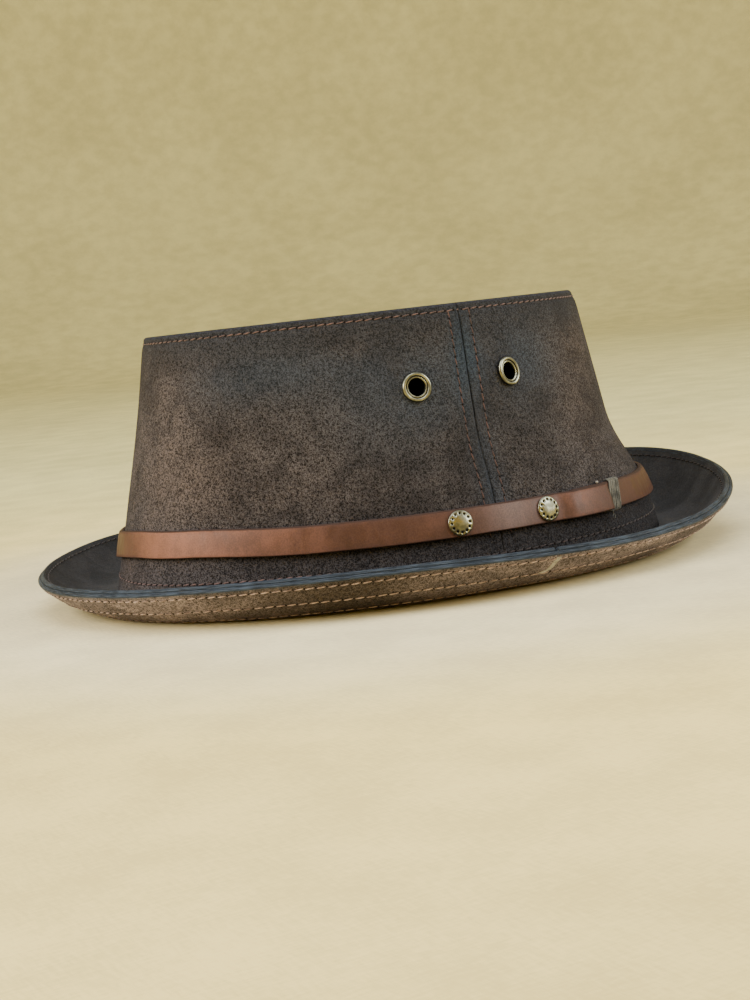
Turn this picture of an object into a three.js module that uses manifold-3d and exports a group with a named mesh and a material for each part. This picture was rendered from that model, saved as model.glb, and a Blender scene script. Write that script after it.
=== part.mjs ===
// Porkpie hat in stitched leather: two side panels, a sunk top, a turned-up brim of two layers,
// a strap round the crown with a lashed end, two studs on the strap and four eyelets.
//
// Millimetres, +Z up. The hat rests at z = 0 on the flat ring under its brim.
// +Y points to the back of the head and +X to the wearer's left. A bearing is an angle
// about +Z, counted from +X: 90 degrees is the back of the hat and -90 degrees the front.

import * as THREE from 'three';
import { mergeVertices } from 'three/addons/utils/BufferGeometryUtils.js';
import Module from 'manifold-3d';

const wasm = await Module();
wasm.setup();

// Leather thicknesses, and the air left between pieces that touch on the real hat
const GAP = 0.3;
const CROWN_LEATHER = 1.8;
const TIP_LEATHER = 1.6;
const BRIM_LEATHER = 1.5;
const STRAP_LEATHER = 1.8;

// Facets round the hat, and round the small brass parts
const STATIONS = 56;
const BRASS_SIDES = 16;

// Crown: an egg-shaped tapering wall, from its foot on the brim to the rim of the top
const CROWN = {
  foot: 3.6,
  top: 95.3,
  footHalfLength: 103,
  footHalfWidth: 89,
  topHalfLength: 84,
  topHalfWidth: 72.5,
  topSetBack: 3,
  eggAtFoot: 0.07,
  taperPower: 1.1,
};

// The back of the crown swings out above the brim like the bell of a horn
const REAR_FLARE = { reach: 8.5, bearingPower: 1.5, fullBelow: 14.5, fadeHeight: 36 };

// The raw top edge of the side panels is rounded off on its outer side. The rim leans a little:
// it is highest on the left, towards the front
const RIM = { roundDrop: 1.3, roundInset: 0.8, rise: 0.5, lean: 0.9, highestAt: -25 };

// Heights at which a side panel bends, as levels above the floor
const PANEL_LEVELS = [CROWN.foot, 9, 15, 21, 28, 36, 48, 64, 82];

// The top is one tray: a flange inside the rim, a tight turn, and a slightly domed floor
const TIP = { sink: 9.5, turnInset: 3.4, turnHeight: 3.6, doming: 2.6 };
const TIP_FLOOR_RINGS = [0.78, 0.5, 0.22, 0];

// Brim: how far it reaches beyond the foot of the crown, and how high its edge is turned up
const BRIM = { reach: 29, sideExtra: 2, flatRing: 5.0, edgeLean: 0.9, edgeDrop: 2.2, curl: 2.0 };
const BRIM_STEPS = [0, 0.2, 0.4, 0.6, 0.8, 1];

// The height of the brim's edge is a mean level and a few waves round the hat, which all
// peak at the back
const EDGE_MEAN = 17;
const EDGE_WAVES = [
  { waves: 1, height: 3.1 },
  { waves: 2, height: 2.6 },
  { waves: 3, height: 2.8 },
  { waves: 4, height: 0.5 },
];

// Right of the back, the edge is turned up a little more
const EDGE_LIFT = { bearing: 108, height: 1.6, width: 22 };

// Strap: its lower edge, how far it dips to the back, its width, and where its ends overlap
const STRAP = { lowerEdge: 18.2, rearDip: 1.3, width: 9.4, bevel: 0.35 };
const OVERLAP = { innerEnd: 18.8, rampStart: 13.8, rampEnd: 18.2, outerEnd: 28.4 };

// The strap has slipped down on the right side and rides up a little at the left front.
// These angles are counted from the front, towards the right
const STRAP_SLIP = { depth: 2.8, from: -6, full: 26, back: 100, level: 150 };
const STRAP_SWELL = { height: 0.75, angle: -27, width: 14 };

// Waxed thread wound round the strap beside its outer end
const LASHING = { start: 28.9, end: 32.4, strands: 5, samples: 4, thread: 1.1 };

// Brass: domed studs with a short post through the strap, and rolled eyelets in the panels
const STUD = { radius: 4.4, dome: 1.5, rim: 0.35, post: 1.2, postLength: 1.6, hole: 1.5 };
const EYELET = { radius: 5.2, bore: 3.0, barrel: 3.3, washer: 4.5, roll: 1.0, hole: 3.65 };
const EYELET_CLEARANCE = { outside: 0.35, inside: 0.6 };
const STUD_PLACES = [
  { name: 'stud_front', bearing: -8.8 },
  { name: 'stud_rear', bearing: 11.1 },
];
const EYELET_PLACES = [
  { name: 'eyelet_left_front', panel: 'crown_front', bearing: -14, height: 69.8 },
  { name: 'eyelet_left_rear', panel: 'crown_rear', bearing: 9.5, height: 71 },
  { name: 'eyelet_right_front', panel: 'crown_front', bearing: 194, height: 69.8 },
  { name: 'eyelet_right_rear', panel: 'crown_rear', bearing: 170.5, height: 71 },
];

// Half the width of a side seam between the two panels, in degrees of bearing. Above the strap
// a seam bows towards the front
const SEAM_HALF_ANGLE = 0.09;
const SEAM_BOW = { angle: 1.15, from: 28, full: 52, reach: 8 };

const MATERIALS = {
  crownLeather: new THREE.MeshStandardMaterial({ color: 0x4d4036, roughness: 0.9, metalness: 0 }),
  brimLeather: new THREE.MeshStandardMaterial({ color: 0x3a302a, roughness: 0.88, metalness: 0 }),
  underLeather: new THREE.MeshStandardMaterial({ color: 0x55473a, roughness: 0.92, metalness: 0 }),
  strapLeather: new THREE.MeshStandardMaterial({ color: 0x8c5a3c, roughness: 0.5, metalness: 0 }),
  thread: new THREE.MeshStandardMaterial({ color: 0x7d7c6c, roughness: 0.8, metalness: 0 }),
  brass: new THREE.MeshStandardMaterial({ color: 0xa89c64, roughness: 0.4, metalness: 1 }),
};

const radians = THREE.MathUtils.degToRad;

// Rear flare at a bearing and height: full at the foot, fading smoothly upwards
function flareAt(bearing, height) {
  const behind = Math.max(Math.sin(radians(bearing)), 0) ** REAR_FLARE.bearingPower;
  const faded = THREE.MathUtils.smoothstep(
    height, REAR_FLARE.fullBelow, REAR_FLARE.fullBelow + REAR_FLARE.fadeHeight);
  return REAR_FLARE.reach * behind * (1 - faded);
}

// A point on the outer face of the crown
function crownPoint(bearing, height) {
  const along = Math.sin(radians(bearing));
  const across = Math.cos(radians(bearing));
  const share = 1 - (height - CROWN.foot) / (CROWN.top - CROWN.foot);
  const taper = Math.sign(share) * Math.abs(share) ** CROWN.taperPower;
  const halfLength = THREE.MathUtils.lerp(CROWN.topHalfLength, CROWN.footHalfLength, taper);
  const halfWidth = THREE.MathUtils.lerp(CROWN.topHalfWidth, CROWN.footHalfWidth, taper);
  const egg = 1 + CROWN.eggAtFoot * along * taper;
  const flare = flareAt(bearing, height);
  return new THREE.Vector3(
    halfWidth * across * egg + flare * across,
    halfLength * along + flare * along + CROWN.topSetBack * (1 - taper),
    height);
}

// The level direction that points straight out from the crown at a bearing
function outwards(bearing) {
  const step = 0.5;
  const along = crownPoint(bearing + step, CROWN.foot).sub(crownPoint(bearing - step, CROWN.foot));
  return new THREE.Vector3(along.y, -along.x, 0).normalize();
}

// A point at a distance outside the crown's outer face, or inside it where negative
function besideCrown(bearing, height, distance) {
  return crownPoint(bearing, height).addScaledVector(outwards(bearing), distance);
}

// The direction square to the crown's sloping face
function faceNormal(bearing, height) {
  const step = 0.5;
  const along = crownPoint(bearing + step, height).sub(crownPoint(bearing - step, height));
  const up = crownPoint(bearing, height + step).sub(crownPoint(bearing, height - step));
  return along.cross(up).normalize();
}

// How far the rim stands above its plain level
function rimRise(bearing) {
  return RIM.rise + RIM.lean * Math.cos(radians(bearing - RIM.highestAt));
}

// The bearing of a panel's corner, moved along with the seam where it is near one
function bowed(bearing, height) {
  const across = Math.cos(radians(bearing));
  const limit = Math.cos(radians(SEAM_BOW.reach));
  const near = Math.max(Math.abs(across) - limit, 0) / (1 - limit);
  const bow = SEAM_BOW.angle * THREE.MathUtils.smoothstep(height, SEAM_BOW.from, SEAM_BOW.full);
  return bearing - Math.sign(across) * bow * near;
}

function brimReach(bearing) {
  return BRIM.reach + BRIM.sideExtra * Math.cos(radians(2 * bearing));
}

function edgeHeight(bearing) {
  const lift = EDGE_LIFT.height * Math.exp(-(((bearing - EDGE_LIFT.bearing) / EDGE_LIFT.width) ** 2));
  return EDGE_WAVES.reduce(
    (height, wave) => height + wave.height * Math.cos(radians(wave.waves * (bearing - 90))),
    EDGE_MEAN + lift);
}

// Bearings of the facets' corners from one bearing to another, both included
function bearingsBetween(from, to, extra = []) {
  const pitch = 360 / STATIONS;
  const bearings = [from, ...extra, to];
  const clear = pitch / 8;
  for (let index = Math.ceil(from / pitch); index * pitch < to; index += 1) {
    const bearing = index * pitch;
    if (bearings.every((other) => Math.abs(other - bearing) > clear)) {
      bearings.push(bearing);
    }
  }
  return bearings.sort((a, b) => a - b);
}

function fullTurn() {
  return Array.from({ length: STATIONS }, (_, index) => (index * 360) / STATIONS);
}

// A wall section as one loop: up its outer face and back down its inner face
function sectionLoop(pairs) {
  return [...pairs.map((pair) => pair.outer), ...pairs.map((pair) => pair.inner).reverse()];
}

// Merge shared corners and drop triangles that have shrunk to a line
function weld(geometry) {
  geometry.deleteAttribute('normal');
  geometry.deleteAttribute('uv');
  const merged = mergeVertices(geometry, 1e-4);
  const kept = [];
  const index = merged.index.array;
  for (let corner = 0; corner < index.length; corner += 3) {
    const [a, b, c] = index.slice(corner, corner + 3);
    if (a !== b && b !== c && c !== a) {
      kept.push(a, b, c);
    }
  }
  merged.setIndex(kept);
  return merged;
}

function signedVolume(geometry) {
  const corners = [0, 1, 2].map(() => new THREE.Vector3());
  const { position } = geometry.attributes;
  const index = geometry.index.array;
  let volume = 0;
  for (let corner = 0; corner < index.length; corner += 3) {
    corners.forEach((vertex, offset) => vertex.fromBufferAttribute(position, index[corner + offset]));
    volume += corners[0].dot(corners[1].clone().cross(corners[2])) / 6;
  }
  return volume;
}

// Skin a row of equal loops into a closed body: a ring, or a strip with an end at each side
function loft(loops, isRing) {
  const count = loops[0].length;
  const index = [];
  const quad = (a, b, c, d) => index.push(a, b, c, a, c, d);
  const spans = isRing ? loops.length : loops.length - 1;
  for (let span = 0; span < spans; span += 1) {
    const here = span * count;
    const next = ((span + 1) % loops.length) * count;
    for (let corner = 0; corner < count; corner += 1) {
      const after = (corner + 1) % count;
      quad(here + corner, next + corner, next + after, here + after);
    }
  }
  if (!isRing) {
    const last = (loops.length - 1) * count;
    for (let corner = 0; corner < count / 2 - 1; corner += 1) {
      const across = count - 1 - corner;
      quad(corner, corner + 1, across - 1, across);
      quad(last + across, last + across - 1, last + corner + 1, last + corner);
    }
  }
  const geometry = new THREE.BufferGeometry().setFromPoints(loops.flat());
  geometry.setIndex(index);
  const welded = weld(geometry);
  if (signedVolume(welded) < 0) {
    welded.setIndex(Array.from(welded.index.array).reverse());
  }
  return welded;
}

function toSolid(geometry) {
  return new wasm.Manifold(new wasm.Mesh({
    numProp: 3,
    vertProperties: Float32Array.from(geometry.attributes.position.array),
    triVerts: Uint32Array.from(geometry.index.array),
  }));
}

function toGeometry(solid) {
  const mesh = solid.getMesh();
  const geometry = new THREE.BufferGeometry();
  geometry.setAttribute('position', new THREE.BufferAttribute(mesh.vertProperties, 3));
  geometry.setIndex(Array.from(mesh.triVerts));
  return geometry;
}

// Cut round holes through a wall; each hole is a centre, a direction and a radius
function drill(geometry, holes) {
  const depth = 12;
  const drilled = holes.reduce((solid, hole) => {
    const cutter = new THREE.CylinderGeometry(hole.radius, hole.radius, depth, BRASS_SIDES);
    const turn = new THREE.Quaternion().setFromUnitVectors(THREE.Object3D.DEFAULT_UP, hole.direction);
    cutter.applyQuaternion(turn);
    cutter.translate(hole.centre.x, hole.centre.y, hole.centre.z);
    return solid.subtract(toSolid(weld(cutter)));
  }, toSolid(geometry));
  return toGeometry(drilled);
}

function finishedMesh(name, geometry, material) {
  geometry.computeVertexNormals();
  const mesh = new THREE.Mesh(geometry, material);
  mesh.name = name;
  return mesh;
}

// Side panel: half of the crown's wall, from one side seam to the other, with its eyelet holes
function crownPanel(name, fromBearing, toBearing) {
  const bearings = bearingsBetween(fromBearing + SEAM_HALF_ANGLE, toBearing - SEAM_HALF_ANGLE);
  const loops = bearings.map((bearing) => {
    const top = CROWN.top + rimRise(bearing);
    const rows = [...PANEL_LEVELS, top - RIM.roundDrop].map((level) => ({ level, inset: 0 }));
    rows.push({ level: top, inset: RIM.roundInset });
    return sectionLoop(rows.map(({ level, inset }) => ({
      outer: besideCrown(bowed(bearing, level), level, -inset),
      inner: besideCrown(bowed(bearing, level), level, -CROWN_LEATHER),
    })));
  });
  const holes = EYELET_PLACES.filter((place) => place.panel === name).map((place) => ({
    centre: crownPoint(place.bearing, place.height),
    direction: faceNormal(place.bearing, place.height),
    radius: EYELET.hole,
  }));
  return finishedMesh(name, drill(loft(loops, false), holes), MATERIALS.crownLeather);
}

// The sunk top: flange, turn and domed floor in one piece of leather
function crownTip() {
  const under = -(CROWN_LEATHER + GAP);
  const floor = CROWN.top - TIP.sink;
  const flange = [
    { inset: 0, upper: floor + TIP.turnHeight, lower: floor + TIP.turnHeight },
    { inset: TIP.turnInset * 0.3, upper: floor + TIP.turnHeight * 0.3, lower: floor },
    { inset: TIP.turnInset, upper: floor, lower: floor - TIP_LEATHER },
  ];
  const centre = new THREE.Vector3(0, CROWN.topSetBack, 0);
  const loops = fullTurn().map((bearing) => {
    const top = CROWN.top + rimRise(bearing);
    const pairs = [{ inset: 0, upper: top, lower: top }, ...flange].map((row) => ({
      outer: besideCrown(bearing, row.lower, under - row.inset),
      inner: besideCrown(bearing, row.upper, under - TIP_LEATHER - row.inset * 0.8),
    }));
    const { outer, inner } = pairs[pairs.length - 1];
    TIP_FLOOR_RINGS.forEach((scale) => {
      const rise = TIP.doming * (1 - scale ** 2);
      pairs.push({
        outer: outer.clone().sub(centre).multiply(new THREE.Vector3(scale, scale, 1)).add(centre),
        inner: inner.clone().sub(centre).multiply(new THREE.Vector3(scale, scale, 1)).add(centre),
      });
      pairs[pairs.length - 1].outer.z += rise;
      pairs[pairs.length - 1].inner.z += rise;
    });
    return sectionLoop(pairs);
  });
  return finishedMesh('crown_tip', loft(loops, true), MATERIALS.crownLeather);
}

// The brim's lower face at a bearing, from under the crown's wall over the flat ring to the edge.
// Each point knows the direction that goes up through the leather
function brimCurve(bearing) {
  const run = brimReach(bearing) + BRIM.edgeLean - BRIM.flatRing;
  const rise = edgeHeight(bearing) - BRIM.edgeDrop;
  const risingPart = BRIM_STEPS.map((step) => {
    const slope = (BRIM.curl * rise * step ** (BRIM.curl - 1)) / run;
    return {
      out: BRIM.flatRing + run * step,
      height: rise * step ** BRIM.curl,
      up: new THREE.Vector2(-slope, 1).normalize(),
    };
  });
  return [{ out: -CROWN_LEATHER, height: 0, up: new THREE.Vector2(0, 1) }, ...risingPart];
}

// One layer of the brim between two depths above the lower face
function brimLayer(name, lowerDepth, upperDepth, material) {
  const loops = fullTurn().map((bearing) => {
    const place = (point, depth) => {
      const spot = besideCrown(bearing, CROWN.foot, point.out + point.up.x * depth);
      spot.z = point.height + point.up.y * depth;
      return spot;
    };
    return sectionLoop(brimCurve(bearing).map((point) => ({
      outer: place(point, lowerDepth),
      inner: place(point, upperDepth),
    })));
  });
  return finishedMesh(name, loft(loops, true), material);
}

function brimUnder() {
  return brimLayer('brim_under', 0, BRIM_LEATHER, MATERIALS.underLeather);
}

function brimTop() {
  const lower = BRIM_LEATHER + GAP;
  return brimLayer('brim_top', lower, lower + BRIM_LEATHER, MATERIALS.brimLeather);
}

function strapLowerEdge(bearing) {
  const turn = THREE.MathUtils.euclideanModulo(90 - bearing, 360) - 180;
  const slipped = THREE.MathUtils.smoothstep(turn, STRAP_SLIP.from, STRAP_SLIP.full)
    - THREE.MathUtils.smoothstep(turn, STRAP_SLIP.back, STRAP_SLIP.level);
  const swell = Math.exp(-(((turn - STRAP_SWELL.angle) / STRAP_SWELL.width) ** 2));
  return STRAP.lowerEdge - STRAP.rearDip * Math.sin(radians(bearing))
    - STRAP_SLIP.depth * slipped + STRAP_SWELL.height * swell;
}

// How far the strap's inner face stands off the crown, counted along the strap from its inner end
function strapStandOff(bearing) {
  const rampStart = OVERLAP.rampStart + 360;
  const rampEnd = OVERLAP.rampEnd + 360;
  const raised = THREE.MathUtils.smoothstep(bearing, rampStart, rampEnd);
  return GAP + raised * (STRAP_LEATHER + GAP);
}

// Strap: once round the crown, its outer end lapped over its tucked-in inner end
function strap() {
  const { width, bevel } = STRAP;
  const lap = [OVERLAP.rampStart, (OVERLAP.rampStart + OVERLAP.rampEnd) / 2, OVERLAP.rampEnd];
  const bearings = bearingsBetween(
    OVERLAP.innerEnd, OVERLAP.outerEnd + 360, lap.map((bearing) => bearing + 360));
  const rows = [
    { level: 0, thickness: STRAP_LEATHER - bevel },
    { level: bevel, thickness: STRAP_LEATHER },
    { level: width / 2, thickness: STRAP_LEATHER },
    { level: width - bevel, thickness: STRAP_LEATHER },
    { level: width, thickness: STRAP_LEATHER - bevel },
  ];
  const loops = bearings.map((bearing) => sectionLoop(rows.map(({ level, thickness }) => {
    const height = strapLowerEdge(bearing) + level;
    const standOff = strapStandOff(bearing);
    return {
      outer: besideCrown(bearing, height, standOff + thickness),
      inner: besideCrown(bearing, height, standOff),
    };
  })));
  const holes = STUD_PLACES.map((place) => ({ ...studSeat(place.bearing), radius: STUD.hole }));
  return finishedMesh('strap', drill(loft(loops, false), holes), MATERIALS.strapLeather);
}

// Where a stud sits: the middle of the strap's outer face, facing straight out of it
function studSeat(bearing) {
  const height = strapLowerEdge(bearing) + STRAP.width / 2;
  return {
    centre: besideCrown(bearing, height, GAP + STRAP_LEATHER),
    direction: faceNormal(bearing, height),
  };
}

// Lashing: strands of thread side by side over the strap, from the crown above to the crown below
function strapLashing() {
  const { start, end, strands, samples, thread } = LASHING;
  const near = GAP + 0.1;
  const over = STRAP_LEATHER + 2 * GAP;
  const steps = strands * samples;
  const loops = Array.from({ length: steps + 1 }, (_, step) => {
    const bearing = THREE.MathUtils.lerp(start, end, step / steps);
    const swell = Math.abs(Math.sin((Math.PI * step) / samples));
    const full = thread * (0.6 + 0.4 * swell);
    const low = strapLowerEdge(bearing) - GAP;
    const high = strapLowerEdge(bearing) + STRAP.width + GAP;
    const path = [
      { height: high, distance: near, rise: full, out: 0 },
      { height: high, distance: over - GAP, rise: full, out: 0 },
      { height: high - 0.1, distance: over, rise: 0.3 * full, out: full },
      { height: low + 0.1, distance: over, rise: -0.3 * full, out: full },
      { height: low, distance: over - GAP, rise: -full, out: 0 },
      { height: low, distance: near, rise: -full, out: 0 },
    ];
    return sectionLoop(path.map((point) => ({
      outer: besideCrown(bearing, point.height + point.rise, point.distance + point.out),
      inner: besideCrown(bearing, point.height, point.distance),
    })));
  });
  return finishedMesh('strap_lashing', loft(loops, false), MATERIALS.thread);
}

// A small turned brass part whose axis points out of the hat
function turnedPart(name, profile, centre, direction) {
  const points = profile.map(([radius, height]) => new THREE.Vector2(radius, height));
  const mesh = finishedMesh(name, weld(new THREE.LatheGeometry(points, BRASS_SIDES)), MATERIALS.brass);
  mesh.position.copy(centre);
  mesh.quaternion.setFromUnitVectors(THREE.Object3D.DEFAULT_UP, direction);
  return mesh;
}

function stud({ name, bearing }) {
  const { radius, dome, rim, post, postLength } = STUD;
  const profile = [
    [0, -postLength],
    [post, -postLength],
    [post, GAP],
    [radius, GAP],
    [radius, GAP + rim],
    [radius * 0.8, GAP + dome * 0.65],
    [radius * 0.45, GAP + dome * 0.93],
    [0, GAP + dome],
  ];
  const seat = studSeat(bearing);
  return turnedPart(name, profile, seat.centre, seat.direction);
}

function eyelet({ name, bearing, height }) {
  const { radius, bore, barrel, washer, roll } = EYELET;
  const seat = EYELET_CLEARANCE.outside;
  const back = -(CROWN_LEATHER + EYELET_CLEARANCE.inside);
  const profile = [
    [bore, back - 0.5],
    [washer, back - 0.5],
    [washer, back],
    [barrel, back],
    [barrel, seat],
    [radius, seat],
    [radius * 0.93, seat + roll * 0.7],
    [radius * 0.78, seat + roll],
    [bore, seat + roll * 0.5],
    [bore, back - 0.5],
  ];
  return turnedPart(name, profile, crownPoint(bearing, height), faceNormal(bearing, height));
}

const hat = new THREE.Group();
hat.add(
  crownPanel('crown_front', 180, 360),
  crownPanel('crown_rear', 0, 180),
  crownTip(),
  brimTop(),
  brimUnder(),
  strap(),
  strapLashing(),
  ...STUD_PLACES.map(stud),
  ...EYELET_PLACES.map(eyelet),
);

// The origin is under the middle of the hat's box, on the floor
const middle = new THREE.Box3().setFromObject(hat).getCenter(new THREE.Vector3());
hat.position.set(-middle.x, -middle.y, 0);

export default hat;
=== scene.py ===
"""Looks of the stitched leather porkpie hat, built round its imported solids.

The hat's pieces are modelled in millimetres about the crown's own axis and then brought into the
frame, in metres. A bearing is an angle in degrees about +Z, counted from +X, the wearer's left:
90 is the back of the hat and -90 the front.
"""

import logging
import math
from dataclasses import dataclass
from enum import Enum
from functools import lru_cache
from typing import Callable, Iterable, Sequence

import bmesh
import bpy
from mathutils import Matrix, Vector, noise


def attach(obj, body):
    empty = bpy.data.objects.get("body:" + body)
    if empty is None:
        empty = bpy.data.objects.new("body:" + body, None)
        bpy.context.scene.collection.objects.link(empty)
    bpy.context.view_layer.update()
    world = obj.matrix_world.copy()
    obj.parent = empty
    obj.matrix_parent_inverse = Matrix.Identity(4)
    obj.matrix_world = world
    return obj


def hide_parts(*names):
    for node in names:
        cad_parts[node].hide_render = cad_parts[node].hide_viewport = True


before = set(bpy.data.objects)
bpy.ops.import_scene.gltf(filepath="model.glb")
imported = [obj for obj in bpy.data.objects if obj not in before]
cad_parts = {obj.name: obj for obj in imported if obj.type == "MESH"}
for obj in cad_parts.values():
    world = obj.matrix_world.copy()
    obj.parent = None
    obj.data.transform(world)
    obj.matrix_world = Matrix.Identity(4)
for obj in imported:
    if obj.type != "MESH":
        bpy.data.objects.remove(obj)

LOG = logging.getLogger("porkpie_hat")
MILLIMETRE = 0.001
WELD = 1e-4
Colour = tuple[float, float, float]
Socket = bpy.types.NodeSocket


def display(red: int, green: int, blue: int) -> Colour:
    """Turns a colour as seen on a screen into the linear values a shader takes.

    Args:
        red: Red from 0 to 255.
        green: Green from 0 to 255.
        blue: Blue from 0 to 255.

    Returns:
        The same colour in linear light.
    """
    return tuple(
        value / 12.92 if value <= 0.04045 else ((value + 0.055) / 1.055) ** 2.4
        for value in (red / 255, green / 255, blue / 255)
    )


def smooth_step(value: float, start: float, end: float) -> float:
    """Rises smoothly from 0 at start to 1 at end.

    Args:
        value: Where on the rise.
        start: Where it begins.
        end: Where it is complete.

    Returns:
        The share of the rise that is done.
    """
    share = min(max((value - start) / (end - start), 0.0), 1.0)
    return share * share * (3 - 2 * share)


def bell(distance: float, width: float) -> float:
    """Gives 1 at no distance, falling away like a bell over a width."""
    return math.exp(-((distance / width) ** 2))


def spread(start: float, end: float, count: int) -> list[float]:
    """Gives count + 1 values from start to end, evenly spaced."""
    return [start + (end - start) * step / count for step in range(count + 1)]


def turn_between(bearing: float, middle: float) -> float:
    """Gives the angle from one bearing to another, between -180 and 180."""
    return (bearing - middle + 180) % 360 - 180


def arc(start: float, end: float, steps: int) -> list[tuple[float, float]]:
    """Gives the cosine and the sine of evenly spaced angles in degrees."""
    turns = [math.radians(turn) for turn in spread(start, end, steps)]
    return [(math.cos(turn), math.sin(turn)) for turn in turns]


def rounded(radius: float, steps: int) -> list[tuple[float, float]]:
    """Goes round a rounded corner, from one face to the next.

    Args:
        radius: The corner's radius.
        steps: How many steps it takes.

    Returns:
        For each point, its distance from the face ahead and from the face left behind.
    """
    return [(radius * (1 - sine), radius * (1 - cosine)) for cosine, sine in arc(0, 90, steps)]


@dataclass(frozen=True)
class HatShape:
    """The hat's form, in millimetres and degrees of bearing."""

    foot: float = 3.6
    top: float = 95.3
    foot_half_length: float = 103.0
    foot_half_width: float = 89.0
    top_half_length: float = 84.0
    top_half_width: float = 72.5
    top_set_back: float = 3.0
    egg_at_foot: float = 0.07
    taper_power: float = 1.1
    flare_reach: float = 8.5
    flare_power: float = 1.5
    flare_full_below: float = 14.5
    flare_fade: float = 36.0
    crown_leather: float = 1.8
    tip_leather: float = 1.6
    brim_leather: float = 1.5
    strap_leather: float = 1.8
    gap: float = 0.3
    brim_width: float = 29.0
    brim_side_extra: float = 2.0
    flat_ring: float = 5.0
    edge_lean: float = 0.9
    edge_drop: float = 2.2
    edge_mean: float = 17.0
    edge_waves: tuple[float, ...] = (3.1, 2.6, 2.8, 0.5)
    edge_lift: float = 1.6
    edge_lift_bearing: float = 108.0
    edge_lift_width: float = 22.0
    rim_rise: float = 0.5
    rim_lean: float = 0.9
    rim_highest_at: float = -25.0
    rim_lean_from: float = 82.0
    rim_lean_full: float = 1.3
    seam_bow: float = 1.15
    seam_bow_from: float = 28.0
    seam_bow_full: float = 52.0
    seam_bow_reach: float = 8.0
    strap_low: float = 18.2
    strap_rear_dip: float = 1.3
    strap_width: float = 9.4
    strap_slip: float = 2.8
    strap_slip_stretch: tuple[float, float, float, float] = (-6.0, 26.0, 100.0, 150.0)
    strap_swell: float = 0.75
    strap_swell_at: float = -27.0
    strap_swell_width: float = 14.0

    def taper(self, level: float) -> float:
        """Gives 1 at the crown's foot and 0 at its top."""
        share = 1 - (level - self.foot) / (self.top - self.foot)
        return math.copysign(abs(share) ** self.taper_power, share)

    def half_length(self, level: float) -> float:
        """Gives half the crown's length at a level, without its rear flare."""
        return self.top_half_length + (self.foot_half_length - self.top_half_length) * self.taper(level)

    def crown_point(self, bearing: float, level: float) -> Vector:
        """Gives a point on the crown's plain outer face.

        Args:
            bearing: Degrees about the crown's axis.
            level: Height above the floor.

        Returns:
            The point, in millimetres.
        """
        along = math.sin(math.radians(bearing))
        across = math.cos(math.radians(bearing))
        taper = self.taper(level)
        half_width = self.top_half_width + (self.foot_half_width - self.top_half_width) * taper
        faded = smooth_step(level, self.flare_full_below, self.flare_full_below + self.flare_fade)
        flare = self.flare_reach * max(along, 0.0) ** self.flare_power * (1 - faded)
        return Vector((
            half_width * across * (1 + self.egg_at_foot * along * taper) + flare * across,
            self.half_length(level) * along + flare * along + self.top_set_back * (1 - taper),
            level,
        ))

    @lru_cache(maxsize=None)
    def outwards(self, bearing: float) -> Vector:
        """Gives the level direction that points straight out from the crown."""
        step = 0.5
        along = self.crown_point(bearing + step, self.foot) - self.crown_point(bearing - step, self.foot)
        return Vector((along.y, -along.x, 0)).normalized()

    def beside(self, bearing: float, level: float, out: float) -> Vector:
        """Gives a point at a distance outside the crown's plain face, or inside it where negative."""
        return self.crown_point(bearing, level) + self.outwards(bearing) * out

    def face_normal(self, bearing: float, level: float) -> Vector:
        """Gives the direction square to the crown's sloping face."""
        step = 0.5
        along = self.crown_point(bearing + step, level) - self.crown_point(bearing - step, level)
        up = self.crown_point(bearing, level + step) - self.crown_point(bearing, level - step)
        return along.cross(up).normalized()

    def brim_run(self, bearing: float) -> float:
        """Gives how far the brim's curve runs, in plan, from the flat ring to its edge."""
        reach = self.brim_width + self.brim_side_extra * math.cos(math.radians(2 * bearing))
        return reach + self.edge_lean - self.flat_ring

    def rim_shift(self, bearing: float, level: float, start: float) -> float:
        """Gives how far the leaning rim lifts a point of the wall that begins to lean at a level."""
        rise = self.rim_rise + self.rim_lean * math.cos(math.radians(bearing - self.rim_highest_at))
        return rise * min(max((level - start) / (self.top - self.rim_lean_full - start), 0.0), 1.0)

    def bowed(self, bearing: float, level: float) -> float:
        """Gives the bearing of a panel's corner, moved along with the seam where it is near one."""
        across = math.cos(math.radians(bearing))
        limit = math.cos(math.radians(self.seam_bow_reach))
        near = max(abs(across) - limit, 0) / (1 - limit)
        bow = self.seam_bow * smooth_step(level, self.seam_bow_from, self.seam_bow_full)
        return bearing - math.copysign(bow * near, across)

    @lru_cache(maxsize=None)
    def edge_height(self, bearing: float) -> float:
        """Gives the height of the brim's upper edge."""
        lift = self.edge_lift * bell(bearing - self.edge_lift_bearing, self.edge_lift_width)
        return self.edge_mean + lift + sum(
            height * math.cos(math.radians((index + 1) * (bearing - 90)))
            for index, height in enumerate(self.edge_waves)
        )

    def brim_spot(self, bearing: float, run: float, depth: float) -> Vector:
        """Gives a point in the brim's leather.

        Args:
            bearing: Degrees about the crown's axis.
            run: Plan distance from the flat ring towards the edge, below 0 on the ring itself.
            depth: How far up through the leather from the brim's lower face.

        Returns:
            The point, in millimetres.
        """
        whole = self.brim_run(bearing)
        rise = self.edge_height(bearing) - self.edge_drop
        share = max(run, 0.0) / whole
        slope = 2 * rise * share / whole
        length = math.hypot(slope, 1)
        spot = self.beside(bearing, self.foot, self.flat_ring + run - slope / length * depth)
        spot.z = rise * share * share + depth / length
        return spot

    def brim_up(self, bearing: float, run: float) -> Vector:
        """Gives the direction that goes up through the brim's leather."""
        return (self.brim_spot(bearing, run, 1.0) - self.brim_spot(bearing, run, 0.0)).normalized()

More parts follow.
